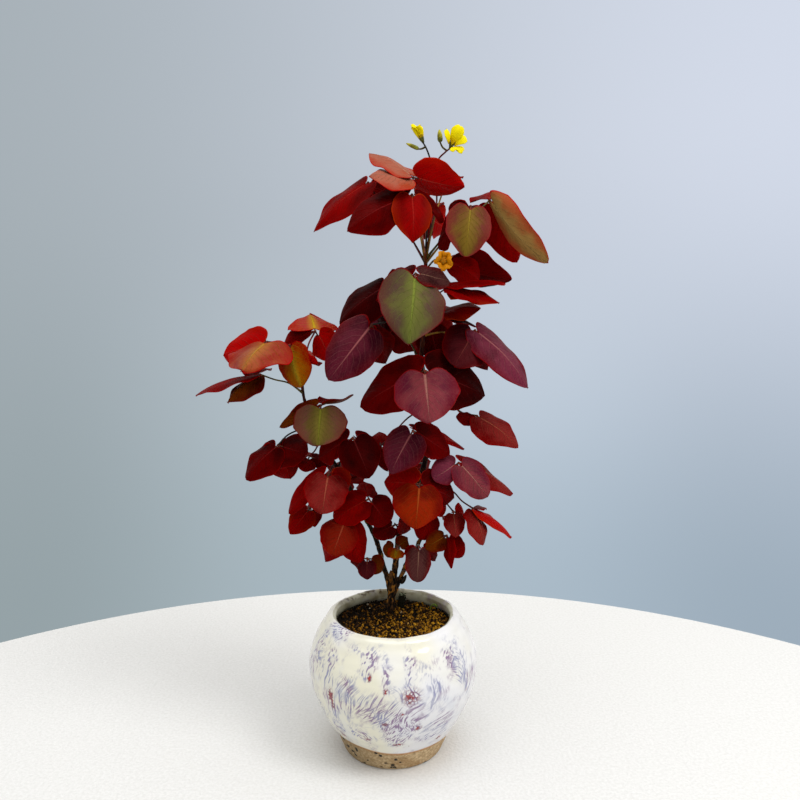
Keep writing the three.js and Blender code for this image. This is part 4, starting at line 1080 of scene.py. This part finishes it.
# How much a blade is mottled, how far its tones reach in from the border and up from the base, the
# side veins and the fine net, the midrib, and how much light the blade lets through
MOTTLE = {"scale": 140, "detail": 5, "strength": 2.0, "reach": 0.4, "full": (-0.3, 0.5)}
VEINS = {"pairs": 8.0, "slant": 0.4, "waver": 0.12, "width": 0.1, "tint": 0.24, "net": 0.1, "fine": 900}
MIDRIB = {"width": 0.07, "crest": 0.02, "narrowing": 0.72, "tint": 0.95, "fading": 0.4, "band": 0.34}
LEAF_THINNESS = 0.3


def bent(places, planes, face, clear):
    """How far each place has to bend out of its own face to reach the positive side of each plane."""
    short = np.clip(clear - planes @ places.T, 0, None)
    lean = planes @ face
    sign = np.where(lean < 0, -1, 1)
    return short / (sign * np.maximum(np.abs(lean), LEAST_LEAN))[:, None]


def parting_plane(mine, neighbour):
    """The plane through the hub that parts a blade from its neighbour with the least bending."""
    here = bent(mine["corners"], COMPASS, mine["face"], LEAFLET_CLEAR_SOLID)
    away = bent(neighbour["corners"], -COMPASS, neighbour["face"], neighbour["clear"])
    price = mine["firmness"] * (here**2).sum(axis=1) + neighbour["firmness"] * (away**2).sum(axis=1)
    return COMPASS[price.argmin()]


def leaflet_planes(shapes, stalk_places):
    """The planes that keep each leaflet clear of the other two and of the stalk."""
    sides = [
        {
            "corners": free_corners(shape), "face": shape["face"], "clear": LEAFLET_CLEAR_SOLID,
            "firmness": EARLIER_FIRMNESS ** (2 - k),
        }
        for k, shape in enumerate(shapes)
    ]
    planes = [[], [], []]
    for first, second in [(0, 1), (0, 2), (1, 2)]:
        plane = parting_plane(sides[first], sides[second])
        planes[first].append(plane)
        planes[second].append(-plane)
    for k, mine in enumerate(sides):
        stalk = {**mine, "corners": stalk_places, "clear": STALK_CLEAR, "firmness": STALK_FIRMNESS}
        planes[k].append(parting_plane({**mine, "firmness": 1}, stalk))
    return planes


def settled(places, planes, face):
    """Places moved to the positive side of all the planes, first by bending, then the shortest way."""
    for plane in [*planes, *planes]:
        places = places + np.outer(bent(places, plane[None], face, LEAFLET_CLEAR)[0], face)
    for _ in range(SETTLE_ROUNDS):
        for plane in planes:
            places = places + np.outer(np.clip(LEAFLET_CLEAR - places @ plane, 0, None), plane)
    return places


def heart_spread(along, bluntness):
    """As the solids' spread, but fuller at the base and with the tip rounded off."""
    widest = HEART["widest"]
    low = 1 - (1 - HEART["base"]) * (np.clip(widest - along, 0, None) / widest) ** 2
    beyond = (np.clip(along - widest, 0, None) / (1 - widest)) ** HEART["taper"]
    return np.where(along < widest, low, np.cos(math.pi / 2 * beyond) ** bluntness)


def moves_between(shape, planes, rows, columns):
    """How far each place of the fine grid moves, between the moves of the solid's few corners."""
    coarse_rows, coarse_columns = coarse_grid(shape)
    corners = free_corners(shape)
    moves = settled(corners, planes, shape["face"]) - corners
    wide = moves[:-1].reshape(len(coarse_rows), len(coarse_columns), 3)
    wide = np.concatenate([wide, np.broadcast_to(moves[-1], (1, len(coarse_columns), 3))])
    half = np.array([[np.interp(columns, coarse_columns, row[:, k]) for k in range(3)] for row in wide])
    ends = [*coarse_rows, 1]
    fine = [[np.interp(rows, ends, half[:, k, c]) for c in range(len(columns))] for k in range(3)]
    return np.array(fine).transpose(2, 1, 0)


def blurred(grid):
    """A grid of moves, each evened out with its neighbours, so that no crease shows."""
    for _ in range(BLUR_ROUNDS):
        wide = np.pad(grid, ((1, 1), (1, 1), (0, 0)), mode="edge")
        grid = (wide[:-2, 1:-1] + wide[2:, 1:-1] + wide[1:-1, :-2] + wide[1:-1, 2:] + 2 * grid) / 6
    return grid


def ripple(shape, along, across):
    """The small unevenness of a living blade, strongest at its edge: out of its face, and sideways."""
    beat = 7.3 * shape["length"] + 3.1 * shape["width"]
    rise = np.sin(6.1 * along + 2.2 * across + beat) * np.abs(across) ** 1.5
    rise += 0.4 * np.sin(9 * across + 5 * along + beat)
    edge = np.sin(11 * along + 4 * across + 2 * beat) + 0.6 * np.sin(23 * along + 3 * across + beat)
    calm = shape["width"] * np.sin(math.pi * np.clip(along, 0, 1)) ** 0.5
    rise = RIPPLE["rise"] * calm * rise
    edge = RIPPLE["edge"] * calm * edge * across * np.abs(across) ** 3
    return np.multiply.outer(rise, shape["face"]) + np.multiply.outer(edge, shape["side"])


def spaced(count, low, high):
    """Even places with one narrow band at each end, for the margin."""
    band = (high - low) * MARGIN_SHARE / 2
    return np.concatenate([[low], np.linspace(low + band, high - band, count - 1), [high]])


def thicken(bm, faces, upward, thickness, underside):
    """Draws a thin sheet down into a closed body, whose lower face has a material of its own."""
    before = set(bm.faces) - faces
    drawn = bmesh.ops.extrude_face_region(bm, geom=list(faces), use_keep_orig=True)["geom"]
    lower = [part for part in drawn if isinstance(part, bmesh.types.BMVert)]
    bmesh.ops.translate(bm, vec=-thickness * upward, verts=lower)
    for part in drawn:
        if isinstance(part, bmesh.types.BMFace):
            part.material_index = underside
    body = set(bm.faces) - before
    corners = list({corner for face in body for corner in face.verts})
    bmesh.ops.remove_doubles(bm, verts=corners, dist=0.0005)
    bmesh.ops.recalc_face_normals(bm, faces=[face for face in body if face.is_valid])


def lay_sheet(bm, uv, columns, rows, form):
    """A grid laid on a form, which turns shares across and along into a place and a spot on the blade."""
    verts = bmesh.ops.create_grid(bm, x_segments=columns, y_segments=rows, size=1)["verts"]
    faces = {face for vert in verts for face in vert.link_faces}
    spots = {}
    for vert in verts:
        vert.co, spots[vert] = form(vert.co.x, (vert.co.y + 1) / 2)
    for face in faces:
        for loop in face.loops:
            side, up = spots[loop.vert]
            loop[uv].uv = (0.5 + side / 2, up)
    return faces, spots


def grow_blade(bm, shape, planes, index, uv, margin):
    """One leaflet: a grid laid on the blade's form, then given its thickness."""
    rows = spaced(BLADE_ROWS, 0, 1)
    columns = spaced(BLADE_COLUMNS, -1, 1)
    along, across = np.meshgrid(rows, columns, indexing="ij")
    chance = math.sin(5 * shape["length"] + 6 * shape["width"])
    bluntness = HEART["blunt"] + HEART["uneven"] * chance
    if shape["width"] <= HEART["small_width"]:
        bluntness -= HEART["small"]
    tuck = BLADE["tuck"] * heart_spread(along, HEART["tuck"])
    spread = partial(heart_spread, bluntness=bluntness)
    free = blade_points(shape, along, across, spread, tuck, HEART["lobes"], HEART["sweep"])
    places = free + blurred(moves_between(shape, planes, rows, columns)) + ripple(shape, along, across)

    def form(side, up):
        row, column = round(up * BLADE_ROWS), round((side + 1) / 2 * BLADE_COLUMNS)
        return Vector(places[row, column]), (columns[column], rows[row])

    faces, spots = lay_sheet(bm, uv, BLADE_COLUMNS, BLADE_ROWS, form)
    for vert, (side, up) in spots.items():
        vert[margin] = float(abs(side) == 1 or up in (0, 1))
    for face in faces:
        face.material_index = index
    thicken(bm, faces, Vector(shape["face"]), BLADE_THICKNESS, underside=3)


def grow_leaf(leaf):
    name, stem_name, share, hub, _, leaflets = leaf
    shapes = [leaflet_shape(*leaflet) for leaflet in leaflets]
    line = stalk_line(stem_name, share, hub, shapes) - np.array(hub, float)
    planes = leaflet_planes(shapes, line[np.linalg.norm(line, axis=1) < STALK_REACH])
    bm = bmesh.new()
    uv = bm.loops.layers.uv.new("blade")
    margin = bm.verts.layers.float.new("margin")
    for k, shape in enumerate(shapes):
        grow_blade(bm, shape, planes[k], k, uv, margin)
    before = set(bm.faces)
    for shape in shapes:
        length = LEAFLET_STALK + HUB["sunk"]
        peg(bm, Vector(), Vector(shape["axis"]), length, HUB["wide"], HUB["narrow"], segments=8)
    bmesh.ops.create_icosphere(bm, subdivisions=2, radius=HUB["radius"])
    colour_since(bm, before, 4)
    bmesh.ops.translate(bm, vec=Vector(hub), verts=bm.verts)
    for edge in bm.edges:
        edge.smooth = edge.calc_face_angle(0) < math.radians(50)
    tissues = [LEAF_SKINS[leaflet[5]] for leaflet in leaflets]
    set_down(bm, "blades_" + name, [*tissues, LEAF_SKINS["underside"], HUB_SKIN], ["leaf_" + name])


def shine_through(tree, shader, colour, share):
    """Lets a share of the light through a thin blade or petal, in its own colour."""
    glow = add(tree, "BsdfTranslucent", {"Color": colour})
    both = add(tree, "MixShader", {0: share, 1: shader.outputs[0], 2: glow.outputs[0]})
    tree.links.new(both.outputs[0], tree.nodes["Material Output"].inputs["Surface"])


def leaf_skin(name, blade, second, midrib, margin):
    """A mottled blade with its side veins and fine net, its midrib and its red margin."""
    material, tree, shader, place = surface("leaf_" + name, roughness=0.42, gloss=SATIN.get(name, 0.03))
    shader.inputs["Specular Tint"].default_value = (1, 0.3, 0.3, 1)
    side, up, _ = split(tree, add(tree, "UVMap", uv_map="blade").outputs[0])
    off = maths(tree, "ABSOLUTE", minus(tree, times(tree, side, 2.0), 1.0))
    clouds = cloudy(tree, place, MOTTLE["scale"], MOTTLE["detail"])
    mottle = times(tree, minus(tree, clouds, 0.5), MOTTLE["strength"])
    outward = times(tree, minus(tree, off, MOTTLE["reach"]), BORDER.get(name, 0.7))
    inward = times(tree, minus(tree, MOTTLE["reach"], up), BASE.get(name, 0.5))
    share = rising(tree, plus(tree, mottle, plus(tree, outward, inward)), *MOTTLE["full"])
    colour = mixed(tree, share, blade, second)
    colour = over(tree, colour, midrib, rising(tree, off, MIDRIB["band"], 0.0), BAND.get(name, 0))
    colour = over(tree, colour, margin, rising(tree, off, 0.5, 1.0), strength=0.35)

    slant = minus(tree, up, times(tree, off, VEINS["slant"]))
    waver = times(tree, cloudy(tree, place, 180, 2), VEINS["waver"])
    pairs = maths(tree, "PINGPONG", times(tree, plus(tree, slant, waver), VEINS["pairs"]), 0.5)
    vein = times(tree, rising(tree, pairs, VEINS["width"], 0.0), rising(tree, off, 1.0, 0.35))
    net = rising(tree, cells(tree, place, VEINS["fine"], "DISTANCE_TO_EDGE"), VEINS["width"], 0.0)
    colour = over(tree, colour, midrib, net, strength=VEINS["net"])
    colour = over(tree, colour, midrib, vein, strength=VEINS["tint"])

    narrow = minus(tree, 1.0, times(tree, up, MIDRIB["narrowing"]))
    rib = rising(tree, maths(tree, "DIVIDE", off, narrow), MIDRIB["width"], MIDRIB["crest"])
    pale = minus(tree, MIDRIB["tint"], times(tree, up, MIDRIB["fading"]))
    colour = over(tree, colour, midrib, times(tree, rib, pale))
    colour = over(tree, colour, margin, rising(tree, attribute(tree, "margin"), 0.1, 0.7))

    relief = plus(tree, times(tree, rib, -1.0), times(tree, vein, -0.6))
    relief = plus(tree, relief, times(tree, cloudy(tree, place, 700), 0.4))
    dress(tree, shader, colour, relief, depth=0.0003)
    shine_through(tree, shader, colour, LEAF_THINNESS)
    return material


LEAF_SKINS = {name: leaf_skin(name, *colours) for name, colours in TISSUES.items()}
LEAF_SKINS["underside"] = leaf_skin("underside", *UNDERSIDE)
HUB_SKIN = stalk_skin("hub", (0.16, 0.03, 0.012))
for leaf in LEAVES:
    grow_leaf(leaf)

# Blooms and buds
# Five thin yellow petals stand in a green cup of five sepals, round short stamens. The buds are
# still closed in green.

SEPALS = 5
CUP = {"length": 2.2, "foot": 0.55, "rim": 1.05}
SEPAL = {"lean": 0.28, "length": 3.3, "radius": 0.42}
STAMEN = {"lean": 0.35, "length": 0.28}
# A petal: its width to its length, where it is full, how narrow its foot is, how its tip draws in and
# is notched, how it is cupped, rolled and ruffled, and how its end turns back
PETAL = {
    "slim": 0.55, "full": 0.8, "foot": 0.3, "swell": 0.72, "draw": 0.35, "round": 0.1, "notch": 0.05,
    "cup": 0.36, "roll": 0.3, "ruffle": 0.05, "back": 0.12, "thickness": 0.2,
}
PETAL_LINES = {"count": 14.0, "width": 0.12, "strength": 0.2}
PETAL_THINNESS = 0.2
# Each flower, with the turn of each petal about it, how far it opens, and its share of the length
BLOOMS = {
    "flower_side": {
        "base": (13.8, 12, 282.2), "facing": (-3.6, 0, 8), "petal": 8.6, "skin": "yellow",
        "broad": 1.1, "taper": 0.5, "heart": 0.2,
        "ways": [(0, 4, 0.78), (72, 5, 0.8), (144, 5, 1.02), (216, 5, 0.84), (288, 7, 0.74)],
    },
    "flower_open": {
        "base": (25.7, 12, 279.8), "facing": (3, -6, 7), "petal": 7.5, "skin": "yellow",
        "broad": 1.45, "taper": 0, "heart": 0.25,
        "ways": [(100, 15, 1.26), (190, 30, 1), (10, 74, 0.78), (330, 68, 0.6), (50, 38, 0.98)],
    },
    "flower_orange": {
        "base": (21.5, -12.6, 229.3), "facing": (1, -10, 1), "petal": 4.4, "skin": "orange",
        "broad": 2.3, "taper": 0, "heart": 1.15,
        "ways": [(0, 50, 1), (72, 34, 0.95), (144, 52, 0.85), (216, 34, 0.95), (288, 48, 0.85)],
    },
}
BUDS = {
    "bud_left": {"base": (11.6, 12, 279.6), "tip": (6, 12, 282), "radius": 1},
    "bud_right": {"base": (21.4, 12, 282.6), "tip": (20.9, 12, 288), "radius": 1.3},
}


def petal_skin(name, light, deep):
    """A petal with fine lines that fade towards its edge, deeper in colour at its foot."""
    material, tree, shader, place = surface("petal_" + name, roughness=0.6, gloss=0.1)
    side, up, _ = split(tree, add(tree, "UVMap", uv_map="blade").outputs[0])
    lines = maths(tree, "PINGPONG", times(tree, side, PETAL_LINES["count"]), 0.5)
    streak = times(tree, rising(tree, lines, PETAL_LINES["width"], 0.0), rising(tree, up, 0.9, 0.1))
    colour = mixed(tree, rising(tree, up, 0.5, 0.0), light, deep)
    colour = over(tree, colour, deep, streak, strength=PETAL_LINES["strength"])
    dress(tree, shader, colour, plus(tree, lines, cloudy(tree, place, 500)), depth=0.00004)
    shine_through(tree, shader, colour, PETAL_THINNESS)
    return material


PETAL_SKINS = {
    "yellow": petal_skin("yellow", (0.86, 0.74, 0.0), (0.78, 0.55, 0.0)),
    "orange": petal_skin("orange", (0.55, 0.2, 0.0), (0.36, 0.12, 0.0)),
}
SEPAL_SKIN = stalk_skin("sepal", (0.16, 0.17, 0.02))
BUD_SKIN = stalk_skin("bud", (0.24, 0.26, 0.03))
PETAL_BUD_SKIN = stalk_skin("bud_tip", (0.42, 0.38, 0.02))


def grow_petal(bm, uv, length, width, taper, way, face, seat):
    """One petal, from its seat along its way, cupped towards its face."""
    side = face.cross(way)

    def form(across, along):
        swell = PETAL["swell"] * math.sin(math.pi / 2 * min(1, along / PETAL["full"]))
        half = 0.5 * width * (PETAL["foot"] + swell) * (1 - taper * along**2)
        half *= 1 - PETAL["draw"] * max(0, along - 0.75) / 0.25
        notch = PETAL["notch"] * math.exp(-((across / 0.2) ** 2)) * along**6
        forward = (along - PETAL["round"] * across**2 * along**3 - notch) * length
        out = PETAL["cup"] * along * (1 - along) * length - PETAL["back"] * length * along**4
        out += PETAL["ruffle"] * width * math.sin(5 * across + 3 * along) * along
        out -= PETAL["roll"] * half * abs(across) ** 1.6
        return seat + way * (1 + forward) + side * (half * across) + face * out, (across, along)

    faces, _ = lay_sheet(bm, uv, columns=8, rows=10, form=form)
    thicken(bm, faces, face, PETAL["thickness"], underside=0)


def open_bloom(name, base, facing, petal, skin, broad, taper, heart, ways):
    bm = bmesh.new()
    uv = bm.loops.layers.uv.new("blade")
    axis = Vector(facing).normalized()
    start = Vector((0.3, 0.9, 0.1)).cross(axis).normalized()
    for turn, opening, share in ways:
        lean = math.radians(opening)
        outward = Matrix.Rotation(math.radians(turn), 3, axis) @ start
        way = axis * math.cos(lean) + outward * math.sin(lean)
        face = axis * math.sin(lean) - outward * math.cos(lean)
        seat = axis * (CUP["length"] * 0.6) + outward * 0.4
        grow_petal(bm, uv, petal * share - 1, PETAL["slim"] * petal * broad, taper, way, face, seat)
        between = Matrix.Rotation(math.radians(turn + 180 / SEPALS), 3, axis) @ start
        sepal = (axis + between * SEPAL["lean"]).normalized()
        pointed(bm, axis * 0.4 + between * 0.35, sepal, SEPAL["length"], SEPAL["radius"], 1)
        anther = (axis + outward * STAMEN["lean"]).normalized()
        pointed(bm, axis * CUP["length"] + outward * heart / 2, anther, STAMEN["length"] * petal, heart, 2)
    pointed(bm, axis * CUP["length"] / 2, axis, 0.4 * petal + 0.6, heart * 1.8, 2)
    before = set(bm.faces)
    peg(bm, Vector(), axis, CUP["length"], CUP["foot"], CUP["rim"], segments=16)
    colour_since(bm, before, 1)
    bmesh.ops.translate(bm, vec=Vector(base), verts=bm.verts)
    set_down(bm, "petals_" + name, [PETAL_SKINS[skin], SEPAL_SKIN, PETAL_SKINS[skin]], [name])


def close_bud(name, base, tip, radius):
    bm = bmesh.new()
    base, reach = Vector(base), Vector(tip) - Vector(base)
    length, way = reach.length, reach.normalized()
    pointed(bm, base, way, length, radius, 0)
    for k in range(SEPALS):
        around = Matrix.Rotation(2 * math.pi * k / SEPALS, 3, way) @ reach.orthogonal().normalized()
        pointed(bm, base + around * radius * 0.45, way, length * 0.6, radius * 0.55, 1)
    set_down(bm, "closed_" + name, [PETAL_BUD_SKIN, BUD_SKIN], [name])


for name, bloom in BLOOMS.items():
    open_bloom(name, **bloom)
for name, bud in BUDS.items():
    close_bud(name, **bud)

# Table, light and camera
# The pot stands on a pale round table in the soft light of a large lamp above and to the right.

TABLE = {"x": 0, "y": -194.4, "radius": 387, "thickness": 4}
TABLE_TONES = ((0.665, 0.665, 0.655), (0.72, 0.72, 0.715))
# Each lamp's place in metres, width, watts and colour, and the place they all point at
LAMPS = {
    "key": ((0.6, -0.4, 1.0), 0.5, 6, (1, 0.99, 0.975)),
    "overhead": ((-0.1, -0.2, 1.2), 1.1, 6, (1, 1, 1)),
}
LAMP_AIM = (0, 0, 0.1)
# The wall behind the plant, its painted light from left to right, below and above, and the painted glow that
# brightens it low in the middle
WALL = {"below": ((0.3, 0.36, 0.38), (0.34, 0.42, 0.5)), "above": ((0.38, 0.43, 0.465), (0.66, 0.71, 0.82))}
WALL_GLOW = 0.22
ROOM = {"Color": (0.6, 0.595, 0.58, 1), "Strength": 1.3}
CAMERA = {"place": (3.3, -360, 220.8), "down": 8.45, "lens": 36, "sensor": 36}


def table_skin():
    material, tree, shader, place = surface("table", roughness=0.85, gloss=0.1)
    weave = cloudy(tree, place, 700, 3)
    dress(tree, shader, mixed(tree, rising(tree, weave, 0.3, 0.7), *TABLE_TONES), weave, depth=0.0003)
    return material


def lay_table():
    bm = bmesh.new()
    middle = (TABLE["x"], TABLE["y"], -TABLE["thickness"] / 2)
    drum(bm, middle, TABLE["radius"], TABLE["thickness"], segments=256)
    table = put("table", in_metres(bm, "table"))
    table.data.materials.append(table_skin())


def hang_lamp(name, place, size, watts, colour):
    lamp = bpy.data.lights.new(name, "AREA")
    lamp.shape = "DISK"
    lamp.size = size
    lamp.energy = watts
    lamp.color = colour
    holder = put(name, lamp)
    holder.location = place
    holder.rotation_euler = (Vector(LAMP_AIM) - Vector(place)).to_track_quat("-Z", "Y").to_euler()


def light_room():
    """The wall as the camera sees it, with its painted light, and the soft light that the room gives."""
    world = bpy.data.worlds.new("room")
    bpy.context.scene.world = world
    world.use_nodes = True
    tree = world.node_tree
    x, _, z = split(tree, add(tree, "TexCoord").outputs["Generated"])
    across = rising(tree, x, -0.55, 0.5)
    low = mixed(tree, across, *WALL["below"])
    wall = mixed(tree, rising(tree, z, -0.4, 0.2), low, mixed(tree, across, *WALL["above"]))
    middle = times(tree, rising(tree, maths(tree, "ABSOLUTE", x), 0.42, 0.12), rising(tree, z, 0.1, -0.2))
    painted_wall_glow = plus(tree, times(tree, middle, WALL_GLOW), 1.0)
    seen = add(tree, "Background", {"Color": wall, "Strength": painted_wall_glow})
    shine = add(tree, "Background", ROOM)
    ray = add(tree, "LightPath").outputs["Is Camera Ray"]
    both = add(tree, "MixShader", {0: ray, 1: shine.outputs[0], 2: seen.outputs[0]})
    tree.links.new(both.outputs[0], tree.nodes["World Output"].inputs["Surface"])


def place_camera():
    lens = bpy.data.cameras.new("camera")
    lens.lens = CAMERA["lens"]
    lens.sensor_width = CAMERA["sensor"]
    camera = put("camera", lens)
    camera.location = Vector(CAMERA["place"]) * MM
    camera.rotation_euler = (math.radians(90 - CAMERA["down"]), 0, 0)
    bpy.context.scene.camera = camera


lay_table()
light_room()
for name, lamp in LAMPS.items():
    hang_lamp(name, *lamp)
place_camera()
bpy.context.scene.view_settings.view_transform = "Standard"
